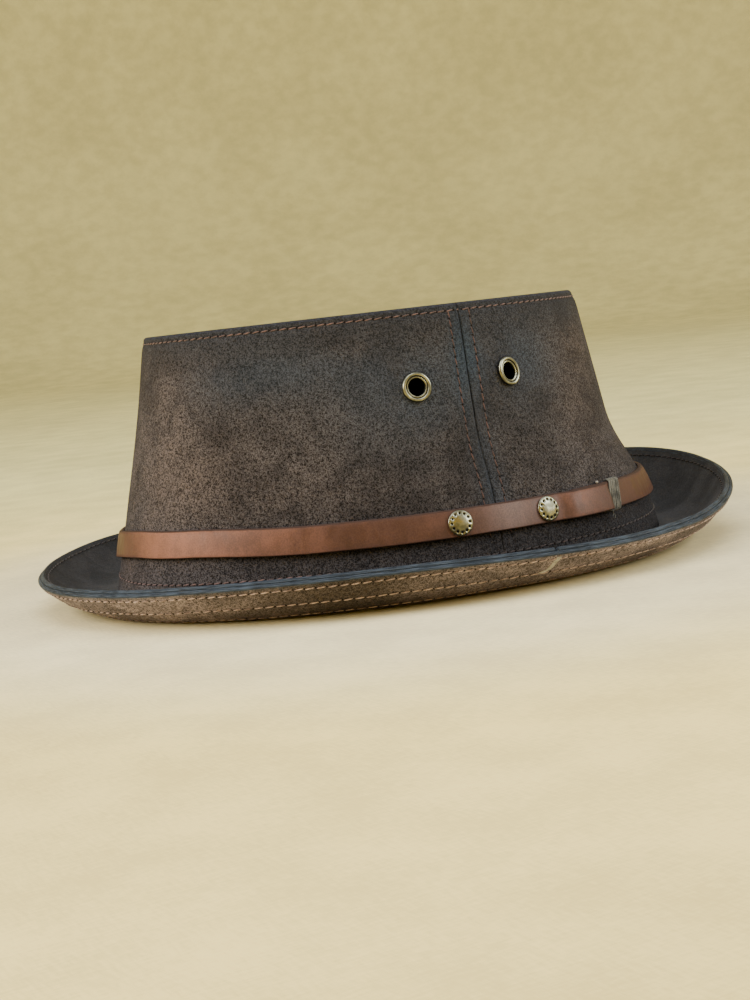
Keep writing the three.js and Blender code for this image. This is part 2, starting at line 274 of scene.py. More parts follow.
    def strap_edge(self, bearing: float) -> float:
        """Gives the level of the strap's lower edge, which has slipped down on the right side."""
        turn = (90 - bearing) % 360 - 180
        start, full, release, end = self.strap_slip_stretch
        slipped = smooth_step(turn, start, full) - smooth_step(turn, release, end)
        swell = self.strap_swell * bell(turn - self.strap_swell_at, self.strap_swell_width)
        return (self.strap_low - self.strap_rear_dip * math.sin(math.radians(bearing))
                - self.strap_slip * slipped + swell)

    def seam_distance(self, bearing: float, level: float) -> float:
        """Gives the distance along the wall to the nearer side seam, near that seam."""
        return abs(self.half_length(level) * math.sin(math.radians(bearing)))

    def middle(self) -> Vector:
        """Gives the middle of the hat's plan, measured from the crown's axis."""
        back = self.brim_spot(90, self.brim_run(90), 0.0).y
        front = self.brim_spot(-90, self.brim_run(-90), 0.0).y
        return Vector((0, (back + front) / 2, 0))


@dataclass(frozen=True)
class SoftPatch:
    """A soft-edged area of the crown where the leather's colour is worn or dyed another way."""

    bearing: float
    level: float
    width: float
    height: float
    strength: float

    def at(self, shape: HatShape, bearing: float, level: float) -> float:
        """Gives the patch's strength at a place on the crown."""
        along = math.radians(turn_between(bearing, self.bearing)) * shape.half_length(level)
        return self.strength * bell(math.hypot(along / self.width, (level - self.level) / self.height), 1)


@dataclass(frozen=True)
class CrownRelief:
    """The small rises and hollows of the crown's leather, over its plain form."""

    shape: HatShape
    wave_height: float = 0.6
    wave_length: float = 34.0
    calm_share: float = 0.12
    calm_below: float = 30.0
    free_above: float = 44.0
    rim_row_below: float = 2.45
    foot_row_level: float = 10.3
    foot_row_rise: float = 1.3
    foot_row_peak: float = -42.0
    foot_row_spread: float = 30.0
    seam_row: float = 4.1
    groove_depth: float = 0.28
    groove_width: float = 0.85
    seam_round: float = 0.7
    seam_turn: float = 0.55
    seam_turn_at_foot: float = 0.3
    seam_opens_from: float = 15.0
    seam_opens_to: float = 24.0
    eyelet_bearing: float = 9.5
    eyelet_level: float = 71.0
    eyelet_tilt: float = 9.0
    eyelet_reach: float = 7.0
    lean_height: float = 9.0
    lean_in: float = 0.45
    lean_in_behind: float = 1.2

    def lean(self, bearing: float, level: float) -> float:
        """Gives how far the rim bends inwards, most at the back."""
        top = self.shape.top
        bend = smooth_step(level, top - self.lean_height, top + self.lean_height) ** 2 * 4
        behind = max(math.sin(math.radians(bearing)), 0.0) ** 2
        return bend * (self.lean_in + (self.lean_in_behind - self.lean_in) * behind)

    def rim_row(self, bearing: float) -> float:
        """Gives the level of the row of stitches under the rim."""
        shape = self.shape
        return shape.top + shape.rim_shift(bearing, shape.top, shape.rim_lean_from) - self.rim_row_below

    def eyelet_dip(self, bearing: float, level: float) -> float:
        """Gives how far the leather is turned with the left side's rear eyelet, which sits askew."""
        turn = turn_between(bearing, self.eyelet_bearing)
        if abs(turn) > 30:
            return 0.0
        along = math.radians(turn) * self.shape.half_length(level)
        away = math.hypot(along, level - self.eyelet_level)
        return math.tan(math.radians(self.eyelet_tilt)) * along * bell(away, self.eyelet_reach)

    def foot_row(self, bearing: float) -> float:
        """Gives the level of the row of stitches round the foot of the crown."""
        turn = turn_between(bearing, self.foot_row_peak)
        return self.foot_row_level + self.foot_row_rise * bell(turn, self.foot_row_spread)

    def rise(self, bearing: float, level: float) -> float:
        """Gives how far the leather stands out of its plain form.

        Args:
            bearing: Degrees about the crown's axis.
            level: Height above the floor.

        Returns:
            Millimetres outwards, negative where it is pressed in.
        """
        shape = self.shape
        freed = smooth_step(level, self.calm_below, self.free_above)
        free = self.calm_share + (1 - self.calm_share) * freed
        place = shape.crown_point(bearing, level) / self.wave_length
        waves = self.wave_height * free * noise.noise(place)
        rim = bell(level - self.rim_row(bearing), self.groove_width)
        seam_distance = shape.seam_distance(bearing, level)
        seam = bell(seam_distance - self.seam_row, self.groove_width)
        opened = self.seam_turn_at_foot + (1 - self.seam_turn_at_foot) * self.seam_opening(level)
        turned_in = self.seam_turn * max(1 - seam_distance / self.seam_round, 0.0) ** 2 * opened
        pressed_in = self.groove_depth * max(rim, seam) + turned_in
        return waves - pressed_in - self.lean(bearing, level) - self.eyelet_dip(bearing, level)

    def seam_opening(self, level: float) -> float:
        """Gives how far a side seam has opened at a level, from 0 under the strap to 1 above it."""
        return smooth_step(level, self.seam_opens_from, self.seam_opens_to)

    def surface(self, bearing: float, level: float, out: float = 0.0) -> Vector:
        """Gives a point on the crown's real surface, or beside it."""
        return self.shape.beside(self.shape.bowed(bearing, level), level, self.rise(bearing, level) + out)


SHAPE = HatShape()
RELIEF = CrownRelief(SHAPE)


class Attribute(Enum):
    """Values kept on the corners of a mesh, which its material reads."""

    EDGE = "edge"
    # Blue-grey dye on the crown, and painted greyish sheen on the strap.
    BLUE_DYE_AND_SHEEN = "cool"
    # Lighter patches: rubbed leather, and painted light and sheen.
    RUBBED_AND_LIT = "warm"
    # Painted shade, which darkens a surface where shade falls.
    PAINTED_SHADE = "dark"


class Blend(Enum):
    """Ways in which a material lays one colour over another."""

    MIX = "MIX"
    MULTIPLY = "MULTIPLY"


class Sum(Enum):
    """Sums that a material makes of two values."""

    ADD = "ADD"
    SUBTRACT = "SUBTRACT"
    MULTIPLY = "MULTIPLY"


class Recipe:
    """A node material being put together round its principled shader."""

    def __init__(self, name: str, roughness: float, specular: float = 0.5, metallic: float = 0.0) -> None:
        """Starts a material.

        Args:
            name: The material's name.
            roughness: Its even roughness, until a texture takes over.
            specular: Its specular level.
            metallic: 1 for a bare metal.
        """
        self.material = bpy.data.materials.new(name)
        self.material.use_nodes = True
        self.nodes = self.material.node_tree.nodes
        self.links = self.material.node_tree.links
        self.shader = self.nodes["Principled BSDF"]
        self.shader.inputs["Roughness"].default_value = roughness
        self.shader.inputs["Specular IOR Level"].default_value = specular
        self.shader.inputs["Metallic"].default_value = metallic
        self.place = self.nodes.new("ShaderNodeTexCoord").outputs["Object"]

    def feed(self, target: Socket, value: Socket | float | Colour) -> None:
        """Links a socket into another, or sets a plain value on it."""
        if isinstance(value, bpy.types.NodeSocket):
            self.links.new(value, target)
        elif isinstance(value, tuple) and target.type == "RGBA":
            target.default_value = (*value, 1.0)
        else:
            target.default_value = value

    def texture(self, place: Socket, scale: Colour, detail: float, roughness: float,
                distortion: float = 0.0) -> Socket:
        """Adds a noise texture on coordinates that are scaled first, and gives its value."""
        mapping = self.nodes.new("ShaderNodeMapping")
        mapping.inputs["Scale"].default_value = scale
        self.links.new(place, mapping.inputs["Vector"])
        texture = self.nodes.new("ShaderNodeTexNoise")
        texture.inputs["Scale"].default_value = 1.0
        texture.inputs["Detail"].default_value = detail
        texture.inputs["Roughness"].default_value = roughness
        texture.inputs["Distortion"].default_value = distortion
        self.links.new(mapping.outputs["Vector"], texture.inputs["Vector"])
        return texture.outputs["Fac"]

    def noise(self, grain: float, detail: float = 3.0, roughness: float = 0.55,
              stretch: Colour = (1.0, 1.0, 1.0), distortion: float = 0.0) -> Socket:
        """Adds a noise texture that is fixed to the piece.

        Args:
            grain: Size of its largest features, in millimetres.
            detail: How many finer layers it has.
            roughness: How strong the finer layers are.
            stretch: How many times longer its features are along each axis.
            distortion: How far its features are bent.

        Returns:
            The texture's value.
        """
        scale = tuple(1 / (grain * MILLIMETRE * axis) for axis in stretch)
        return self.texture(self.place, scale, detail, roughness, distortion)

    def streaks(self, length: float, width: float, detail: float) -> Socket:
        """Adds streaks that run along a sheet, as counts of its length and of its girth."""
        sheet = self.nodes.new("ShaderNodeTexCoord").outputs["UV"]
        return self.texture(sheet, (length, width, 1.0), detail, 0.65)

    def along(self, direction: Colour) -> Socket:
        """Gives how far a place lies along a level direction, in metres."""
        node = self.nodes.new("ShaderNodeVectorMath")
        node.operation = "DOT_PRODUCT"
        self.links.new(self.place, node.inputs[0])
        node.inputs[1].default_value = direction
        return node.outputs["Value"]

    def away(self) -> Socket:
        """Gives how far a place lies from the origin, in metres."""
        node = self.nodes.new("ShaderNodeVectorMath")
        node.operation = "LENGTH"
        self.links.new(self.place, node.inputs[0])
        return node.outputs["Value"]

    def attribute(self, name: Attribute) -> Socket:
        """Reads a value kept on the mesh."""
        node = self.nodes.new("ShaderNodeAttribute")
        node.attribute_name = name.value
        return node.outputs["Fac"]

    def spread(self, value: Socket, low: float, high: float,
               to_low: float = 0.0, to_high: float = 1.0) -> Socket:
        """Stretches the values from low to high over another range, and cuts off what is beyond it."""
        node = self.nodes.new("ShaderNodeMapRange")
        node.interpolation_type = "SMOOTHSTEP"
        self.links.new(value, node.inputs["Value"])
        names = ("From Min", "From Max", "To Min", "To Max")
        for name, number in zip(names, (low, high, to_low, to_high)):
            node.inputs[name].default_value = number
        return node.outputs["Result"]

    def sum(self, how: Sum, first: Socket | float, second: Socket | float) -> Socket:
        """Makes a sum of two values."""
        node = self.nodes.new("ShaderNodeMath")
        node.operation = how.value
        self.feed(node.inputs[0], first)
        self.feed(node.inputs[1], second)
        return node.outputs["Value"]

    def plus(self, first: Socket, share: float, second: Socket) -> Socket:
        """Adds a share of a second value to a first one."""
        return self.sum(Sum.ADD, first, self.sum(Sum.MULTIPLY, second, share))

    def average(self, first: Socket, share: float, second: Socket) -> Socket:
        """Takes a share of one value and the rest of another."""
        return self.plus(self.sum(Sum.MULTIPLY, first, share), 1 - share, second)

    def mix(self, amount: Socket | float, first: Socket | Colour, second: Socket | Colour,
            blend: Blend = Blend.MIX) -> Socket:
        """Lays a second colour over a first one.

        Args:
            amount: How much of the second shows, from 0 to 1.
            first: The colour below.
            second: The colour above.
            blend: How the second is laid on.

        Returns:
            The mixed colour.
        """
        node = self.nodes.new("ShaderNodeMix")
        node.data_type = "RGBA"
        node.blend_type = blend.value
        self.feed(node.inputs["Factor"], amount)
        self.feed(node.inputs[6], first)
        self.feed(node.inputs[7], second)
        return node.outputs[2]

    def shaded(self, colour: Socket, shade: Socket, amount: Socket | float = 1.0) -> Socket:
        """Lightens or darkens a colour by a value, which leaves it as it is at 1."""
        grey = self.nodes.new("ShaderNodeCombineColor")
        for name in ("Red", "Green", "Blue"):
            self.links.new(shade, grey.inputs[name])
        return self.mix(amount, colour, grey.outputs["Color"], Blend.MULTIPLY)

    def bump(self, height: Socket, strength: float, depth: float, below: Socket | None = None) -> Socket:
        """Adds relief.

        Args:
            height: The height texture.
            strength: How strongly it shows.
            depth: Millimetres from its lowest to its highest.
            below: The relief that this one lies on.

        Returns:
            The bent normal.
        """
        node = self.nodes.new("ShaderNodeBump")
        node.inputs["Strength"].default_value = strength
        node.inputs["Distance"].default_value = depth * MILLIMETRE
        self.links.new(height, node.inputs["Height"])
        if below is not None:
            self.links.new(below, node.inputs["Normal"])
        return node.outputs["Normal"]

    def finish(self, colour: Socket | Colour, normal: Socket | None = None,
               roughness: Socket | None = None) -> bpy.types.Material:
        """Links what was made into the shader.

        Args:
            colour: The base colour.
            normal: The relief.
            roughness: A roughness texture, where it isn't even.

        Returns:
            The finished material.
        """
        self.feed(self.shader.inputs["Base Color"], colour)
        if normal is not None:
            self.links.new(normal, self.shader.inputs["Normal"])
        if roughness is not None:
            self.links.new(roughness, self.shader.inputs["Roughness"])
        return self.material


@dataclass(frozen=True)
class RoughLeather:
    """Leather with its rough side out: a short nap, patches of rubbed nap and painted light, painted shade
    and dyed raw edges.
    """

    name: str
    dark: Colour = display(45, 42, 43)
    light: Colour = display(67, 63, 64)
    # The lighter brown of rubbed nap and of painted light.
    warm: Colour = display(87, 77, 73)
    cool: Colour = display(49, 57, 68)
    # The colour of the painted shade under the strap and near the rim.
    shadow_colour: Colour = display(41, 40, 42)
    paint: Colour = display(44, 45, 51)
    nap: float = 0.4
    speckle: float = 0.85
    sheen: float = 0.03

    def material(self) -> bpy.types.Material:
        """Makes the material."""
        recipe = Recipe(self.name, roughness=0.92, specular=0.1)
        recipe.shader.inputs["Sheen Weight"].default_value = self.sheen
        recipe.shader.inputs["Sheen Roughness"].default_value = 0.5
        recipe.shader.inputs["Sheen Tint"].default_value = (0.8, 0.76, 0.72, 1.0)
        clouds = recipe.noise(36.0, detail=2.0, distortion=0.4)
        strokes = recipe.noise(15.0, detail=3.0, distortion=0.9)
        nap = recipe.noise(self.nap, detail=1.5, distortion=0.8)
        tufts = recipe.noise(self.nap * 2.4, detail=2.0, roughness=0.6)
        tone = recipe.average(clouds, 0.5, strokes)
        colour = recipe.mix(recipe.spread(tone, 0.36, 0.64), self.dark, self.light)
        # Lighter patches: rubbed nap, and painted light where the light falls on the front.
        broken = recipe.spread(strokes, 0.28, 0.68, 0.35)
        warm = recipe.sum(Sum.MULTIPLY, recipe.attribute(Attribute.RUBBED_AND_LIT), broken)
        colour = recipe.mix(warm, colour, self.warm)
        cool_dye = recipe.attribute(Attribute.BLUE_DYE_AND_SHEEN)
        uneven = recipe.spread(clouds, 0.3, 0.6, 0.4)
        colour = recipe.mix(recipe.sum(Sum.MULTIPLY, cool_dye, uneven), colour, self.cool)
        # Painted shade: darker under the strap and near the rim.
        colour = recipe.mix(recipe.attribute(Attribute.PAINTED_SHADE), colour, self.shadow_colour)
        grain = recipe.average(nap, 0.65, tufts)
        raw = recipe.plus(recipe.attribute(Attribute.EDGE), 0.5, tufts)
        colour = recipe.mix(recipe.spread(raw, 0.62, 1.0), colour, self.paint)
        shade = recipe.spread(grain, 0.38, 0.62, 1 - self.speckle, 1 + self.speckle)
        clear = recipe.sum(Sum.SUBTRACT, 1.0, recipe.sum(Sum.MULTIPLY, cool_dye, 0.4))
        colour = recipe.shaded(colour, shade, clear)
        relief = recipe.bump(grain, 0.9, 0.6)
        relief = recipe.bump(strokes, 0.2, 0.7, relief)
        return recipe.finish(colour, relief)


@dataclass(frozen=True)
class PaintedLeather:
    """Leather with a soft nap, painted shade and a blue-black painted, fibrous cut edge."""

    name: str
    dark: Colour
    light: Colour
    # The colour of the painted shade on the brim's front.
    shadow_colour: Colour = display(58, 50, 45)
    paint: Colour = display(25, 31, 39)
    paint_light: Colour = display(69, 79, 91)
    nap: float = 0.42
    speckle: float = 0.6

    def material(self) -> bpy.types.Material:
        """Makes the material."""
        recipe = Recipe(self.name, roughness=0.88, specular=0.15)
        clouds = recipe.noise(20.0, detail=3.0, distortion=0.6)
        nap = recipe.noise(self.nap, detail=3.0, roughness=0.65)
        tufts = recipe.noise(self.nap * 2.6, detail=2.0, roughness=0.6)
        colour = recipe.mix(recipe.spread(clouds, 0.34, 0.68), self.dark, self.light)
        # Painted shade on the brim's front.
        colour = recipe.mix(recipe.attribute(Attribute.PAINTED_SHADE), colour, self.shadow_colour)
        grain = recipe.average(nap, 0.65, tufts)
        shade = recipe.spread(grain, 0.36, 0.64, 1 - self.speckle, 1 + self.speckle)
        colour = recipe.shaded(colour, shade)
        fibres = recipe.streaks(150.0, 110.0, 4.0)
        wear = recipe.noise(16.0, detail=2.0)
        streak = recipe.average(fibres, 0.8, wear)
        paint = recipe.mix(recipe.spread(streak, 0.43, 0.62), self.paint, self.paint_light)
        painted = recipe.spread(recipe.plus(recipe.attribute(Attribute.EDGE), 0.35, nap), 0.5, 0.9)
        colour = recipe.mix(painted, colour, paint)
        rough = recipe.spread(painted, 0.0, 1.0, 0.88, 0.5)
        relief = recipe.bump(grain, 0.55, 0.45)
        relief = recipe.bump(fibres, 0.4, 0.35, relief)
        return recipe.finish(colour, relief, rough)


@dataclass(frozen=True)
class StrapLeather:
    """Smooth oiled strap leather with darker edges, and painted sheen: lighter stretches and a greyish
    gloss between the studs.
    """

    name: str
    dark: Colour = display(77, 50, 40)
    light: Colour = display(133, 89, 71)
    # The greyish colour of the painted sheen.
    grey_sheen: Colour = display(112, 93, 90)
    edge: Colour = display(56, 37, 29)

    def material(self) -> bpy.types.Material:
        """Makes the material."""
        recipe = Recipe(self.name, roughness=0.5, specular=0.28)
        recipe.shader.inputs["Coat Weight"].default_value = 0.03
        recipe.shader.inputs["Coat Roughness"].default_value = 0.4
        clouds = recipe.noise(14.0, detail=3.0, distortion=0.4)
        pores = recipe.noise(0.5, detail=1.5)
        creases = recipe.noise(3.2, detail=3.0, stretch=(1.0, 1.0, 2.2), distortion=0.5)
        cut = recipe.attribute(Attribute.EDGE)
        uneven = recipe.spread(clouds, 0.32, 0.7, -0.04, 0.26)
        # Painted sheen makes the strap lighter and greyer where highlights fall.
        tone = recipe.sum(Sum.ADD, recipe.attribute(Attribute.RUBBED_AND_LIT), uneven)
        colour = recipe.mix(recipe.spread(tone, 0.0, 1.1), self.dark, self.light)
        colour = recipe.mix(recipe.attribute(Attribute.BLUE_DYE_AND_SHEEN), colour, self.grey_sheen)
        shade = recipe.spread(recipe.average(pores, 0.6, creases), 0.35, 0.65, 0.82, 1.18)
        colour = recipe.shaded(colour, shade)
        colour = recipe.mix(recipe.spread(recipe.plus(cut, 0.3, creases), 0.55, 1.05), colour, self.edge)
        rough = recipe.plus(recipe.spread(creases, 0.3, 0.7, 0.42, 0.56), 0.35, cut)
        relief = recipe.bump(pores, 0.25, 0.12)
        relief = recipe.bump(creases, 0.2, 0.25, relief)
        return recipe.finish(colour, relief, rough)


@dataclass(frozen=True)
class Thread:
    """Sewing or lashing thread: twisted fibres, unevenly light and dark."""

    name: str
    dark: Colour
    light: Colour
    roughness: float = 0.72
    twist: float = 0.35

    def material(self) -> bpy.types.Material:
        """Makes the material."""
        recipe = Recipe(self.name, roughness=self.roughness, specular=0.3)
        recipe.shader.inputs["Sheen Weight"].default_value = 0.2
        fibres = recipe.noise(self.twist, detail=3.0, roughness=0.6)
        lengths = recipe.noise(2.6, detail=2.0)
        tone = recipe.average(fibres, 0.4, lengths)
        colour = recipe.mix(recipe.spread(tone, 0.36, 0.64), self.dark, self.light)
        return recipe.finish(colour, recipe.bump(fibres, 0.5, 0.2))


@dataclass(frozen=True)
class NeedleHoleShade:
    """Painted shade that stands for the dark inside of a needle hole."""

    name: str
    colour: Colour = display(20, 16, 15)

    def material(self) -> bpy.types.Material:
        """Makes the material."""
        recipe = Recipe(self.name, roughness=0.95, specular=0.1)
        fluff = recipe.noise(0.4, detail=2.0)
        colour = recipe.mix(recipe.spread(fluff, 0.4, 0.7), self.colour, display(38, 30, 26))
        return recipe.finish(colour)


@dataclass(frozen=True)
class AntiqueBrass:
    """Brass with a pale green-gold polish on what stands proud and a dark patina in its hollows; on the
    eyelets the dark also stands for painted shade in the groove, round the seat and down the bore.
    """

    name: str
    bright: Colour = display(150, 150, 130)
    dull: Colour = display(100, 99, 82)
    patina: Colour = display(30, 28, 24)

    def material(self) -> bpy.types.Material:
        """Makes the material."""
        recipe = Recipe(self.name, roughness=0.24, specular=0.5, metallic=1.0)
        clouds = recipe.noise(3.5, detail=2.0)
        scratches = recipe.noise(0.3, detail=3.0, roughness=0.7)
        colour = recipe.mix(recipe.spread(clouds, 0.36, 0.64), self.bright, self.dull)
        patina_and_shade = recipe.plus(recipe.attribute(Attribute.EDGE), 0.3, scratches)
        colour = recipe.mix(recipe.spread(patina_and_shade, 0.4, 0.75), colour, self.patina)
        rough = recipe.spread(clouds, 0.3, 0.7, 0.24, 0.42)
        return recipe.finish(colour, recipe.bump(scratches, 0.12, 0.1), rough)


@dataclass(frozen=True)
class StudioCloth:
    """The pale ground that the hat stands on, with painted light that makes it lighter towards the camera.
    """

    name: str
    far_colour: Colour = display(220, 209, 144)
    lit_near_colour: Colour = display(246, 222, 142)
    middle_colour: Colour = display(238, 224, 177)
    towards: Colour = (0.878, -0.479, 0.0)

    def material(self) -> bpy.types.Material:
        """Makes the material."""
        recipe = Recipe(self.name, roughness=0.95, specular=0.1)
        clouds = recipe.noise(240.0, detail=3.0)
        stains = recipe.noise(30.0, detail=3.0)
        weft = recipe.noise(0.9, detail=1.0, stretch=(5.0, 1.0, 1.0))
        warp = recipe.noise(0.9, detail=1.0, stretch=(1.0, 5.0, 1.0))
        weave = recipe.average(weft, 0.5, warp)
        shade = recipe.spread(clouds, 0.3, 0.7, 0.94, 1.06)
        fine = recipe.spread(recipe.average(stains, 0.5, weave), 0.36, 0.64, 0.9, 1.07)
        # Painted light: the ground is lighter towards the camera, where the light falls.
        near = recipe.spread(recipe.along(self.towards), -0.6, 0.1)
        colour = recipe.mix(near, self.far_colour, self.lit_near_colour)
        beyond = recipe.spread(recipe.away(), 0.14, 0.28)
        colour = recipe.mix(beyond, self.middle_colour, colour)
        colour = recipe.shaded(colour, shade)
        colour = recipe.shaded(colour, fine)
        return recipe.finish(colour, recipe.bump(weave, 0.4, 0.5))


@dataclass
class Wardrobe:
    """Every finish on the hat, each made once."""

    def __post_init__(self) -> None:
        """Makes the materials."""
        self.crown = RoughLeather("crown_nap").material()
        self.brim = PaintedLeather("brim_face", dark=display(54, 54, 55), light=display(69, 68, 69),
                                   speckle=0.3).material()
        self.under = PaintedLeather("under_nap", dark=display(94, 85, 87), light=display(134, 121, 123),
                                    speckle=0.85).material()
        self.strap = StrapLeather("strap_face").material()
        self.crown_thread = Thread("crown_thread", display(64, 49, 48), display(118, 90, 86)).material()
        self.seam_thread = Thread("seam_thread", display(58, 44, 43), display(96, 66, 61)).material()
        self.under_thread = Thread("under_thread", display(106, 86, 82), display(184, 160, 150)).material()
        # Also the back of the foot's row, darker as painted shade.
        self.brim_and_shaded_foot_thread = Thread("brim_and_shaded_foot_thread", display(36, 30, 29), display(58, 44, 42)).material()
        self.waxed_thread = Thread("waxed_thread", display(58, 57, 51), display(110, 108, 97)).material()
        self.pale_thread = Thread("pale_thread", display(124, 119, 113), display(186, 180, 172)).material()
        # Painted shade for the needle holes.
        self.hole_shade = NeedleHoleShade("needle_hole_shade").material()
        self.brass = AntiqueBrass("antique_brass").material()
        self.ground = StudioCloth("studio_ground").material()


def bent_sheet(columns: int, rows: int, place: Callable[[int, int], Vector],
               tones: dict[Attribute, Callable[[int, int], float]]) -> bmesh.types.BMesh:
    """Bends a flat grid into place and welds the edges that come to lie on each other.

    Args:
        columns: How many faces go along it.
        rows: How many faces go across it.
        place: Gives the point for a column and a row.
        tones: Gives each value that the material reads, for a column and a row.

    Returns:
        The bent sheet.
    """
    mesh = bmesh.new()
    mesh.loops.layers.uv.new("leather")
    layers = {name: mesh.verts.layers.float.new(name.value) for name in tones}
    bmesh.ops.create_grid(mesh, x_segments=columns, y_segments=rows, size=0.5, calc_uvs=True)
    for vert in mesh.verts:
        column = round((vert.co.x + 0.5) * columns)
        row = round((vert.co.y + 0.5) * rows)
        vert.co = place(column, row)
        for name, tone in tones.items():
            vert[layers[name]] = tone(column, row)
    bmesh.ops.remove_doubles(mesh, verts=mesh.verts, dist=WELD)
    return mesh


def close_ends(mesh: bmesh.types.BMesh) -> None:
    """Closes the open ends of a strip and turns its faces outwards."""
    open_edges = [edge for edge in mesh.edges if edge.is_boundary]
    if open_edges:
        bmesh.ops.holes_fill(mesh, edges=open_edges, sides=0)
    bmesh.ops.recalc_face_normals(mesh, faces=mesh.faces)


def turned(profile: Sequence[tuple[float, float]], steps: int) -> bmesh.types.BMesh:
    """Turns a profile about +Z.

    Args:
        profile: Radius and height of each point.
        steps: How many faces go round.

    Returns:
        The turned body.
    """
    mesh = bmesh.new()
    verts = [mesh.verts.new((radius, 0, height)) for radius, height in profile]
    edges = [mesh.edges.new(pair) for pair in zip(verts, verts[1:])]
    bmesh.ops.spin(mesh, geom=verts + edges, cent=(0, 0, 0), axis=(0, 0, 1), angle=math.tau,
                   steps=steps, use_merge=True, use_duplicate=False)
    bmesh.ops.remove_doubles(mesh, verts=mesh.verts, dist=WELD)
    bmesh.ops.recalc_face_normals(mesh, faces=mesh.faces)
    return mesh


def stand(name: str, mesh: bmesh.types.BMesh) -> bpy.types.Object:
    """Makes an object of a mesh, which is freed, and puts it in the scene."""
    data = bpy.data.meshes.new(name)
    mesh.to_mesh(data)
    mesh.free()
    made = bpy.data.objects.new(name, data)
    bpy.context.scene.collection.objects.link(made)
    return made


def seat(place: Vector, outwards: Vector, along: Vector | None = None) -> Matrix:
    """Gives the transform that stands a small body on a face.

    Args:
        place: Where its origin goes.
        outwards: Where its +Z goes.
        along: Where its +X goes, roughly.

    Returns:
        The transform.
    """
    up = outwards.normalized()
    across = up.cross(along or Vector((0, 0, 1))).normalized()
    forward = across.cross(up)
    turn = Matrix((forward, across, up)).transposed()
    return Matrix.Translation(place) @ turn.to_4x4()


def threads(paths: Iterable[Sequence[Vector]], radius: float) -> bmesh.types.BMesh:
    """Lays round threads along paths.

    Args:
        paths: The points that each thread follows.
        radius: The thread's radius in millimetres.

    Returns:
        One mesh that holds them all.
    """
    curve = bpy.data.curves.new("thread_paths", "CURVE")
    curve.dimensions = "3D"
    curve.bevel_depth = radius
    curve.bevel_resolution = 3
    curve.use_fill_caps = True
    for path in paths:
        spline = curve.splines.new("POLY")
        spline.points.add(len(path) - 1)
        for point, place in zip(spline.points, path):
            point.co = (*place, 1.0)
    carrier = bpy.data.objects.new("thread_paths", curve)
    mesh = bmesh.new()
    mesh.from_mesh(bpy.data.meshes.new_from_object(carrier))
    bpy.data.objects.remove(carrier)
    bmesh.ops.recalc_face_normals(mesh, faces=mesh.faces)
    return mesh


@dataclass
class Maker:
    """Turns meshes in millimetres into finished pieces that ride with the hat."""

    shape: HatShape
    body: str = "root"

    def __post_init__(self) -> None:
        """Works out the transform into the frame."""
        self.to_frame = Matrix.Scale(MILLIMETRE, 4) @ Matrix.Translation(-self.shape.middle())

    def piece(self, name: str, mesh: bmesh.types.BMesh,
              materials: Sequence[bpy.types.Material], stands_for: Sequence[str] = ()) -> bpy.types.Object:
        """Finishes a piece.

        Args:
            name: The piece's name.
            mesh: Its mesh in millimetres about the crown's axis, which is freed.
            materials: Its materials, in the order of its faces' indices.
            stands_for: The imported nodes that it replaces.

        Returns:
            The piece's object.
        """
        bmesh.ops.transform(mesh, matrix=self.to_frame, verts=mesh.verts)
        for face in mesh.faces:
            face.smooth = True
        made = stand(name, mesh)
        for material in materials:
            made.data.materials.append(material)
        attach(made, self.body)
        if stands_for:
            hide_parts(*stands_for)
        made.data.calc_loop_triangles()
        LOG.info("%s: %d triangles", name, len(made.data.loop_triangles))
        return made

    def drill(self, target: bpy.types.Object, holes: Iterable[tuple[Vector, Vector]],
              radius: float) -> None:
        """Cuts round holes through a finished piece.

        Args:
            target: The piece.
            holes: The middle and the direction of each hole, in millimetres about the crown's axis.
            radius: Their radius in millimetres.
        """
        mesh = bmesh.new()
        for place, direction in holes:
            bmesh.ops.create_cone(mesh, cap_ends=True, segments=40, radius1=radius, radius2=radius,
                                  depth=HARDWARE.drill_depth, matrix=seat(place, direction))
        bmesh.ops.transform(mesh, matrix=self.to_frame, verts=mesh.verts)
        cutter = stand("hole_cutter", mesh)
        cut = target.modifiers.new("holes", "BOOLEAN")
        cut.operation = "DIFFERENCE"
        cut.solver = "EXACT"
        cut.object = cutter
        bpy.context.view_layer.update()
        shaped = bpy.data.meshes.new_from_object(
            target.evaluated_get(bpy.context.evaluated_depsgraph_get()))
        target.modifiers.clear()
        target.data = shaped
        bpy.data.objects.remove(cutter)


@dataclass(frozen=True)
class Hardware:
    """Where the brass sits: studs on the strap, eyelets through the panels."""

    stud_bearings: tuple[tuple[str, float], ...] = (("stud_front", -8.8), ("stud_rear", 11.1))
    eyelet_places: tuple[tuple[str, float, float], ...] = (
        ("eyelet_left_front", -14.0, 69.8),
        ("eyelet_left_rear", 9.5, 71.0),
        ("eyelet_right_front", 194.0, 69.8),
        ("eyelet_right_rear", 170.5, 71.0),
    )
    eyelet_hole: float = 3.65
    drill_depth: float = 9.0


HARDWARE = Hardware()


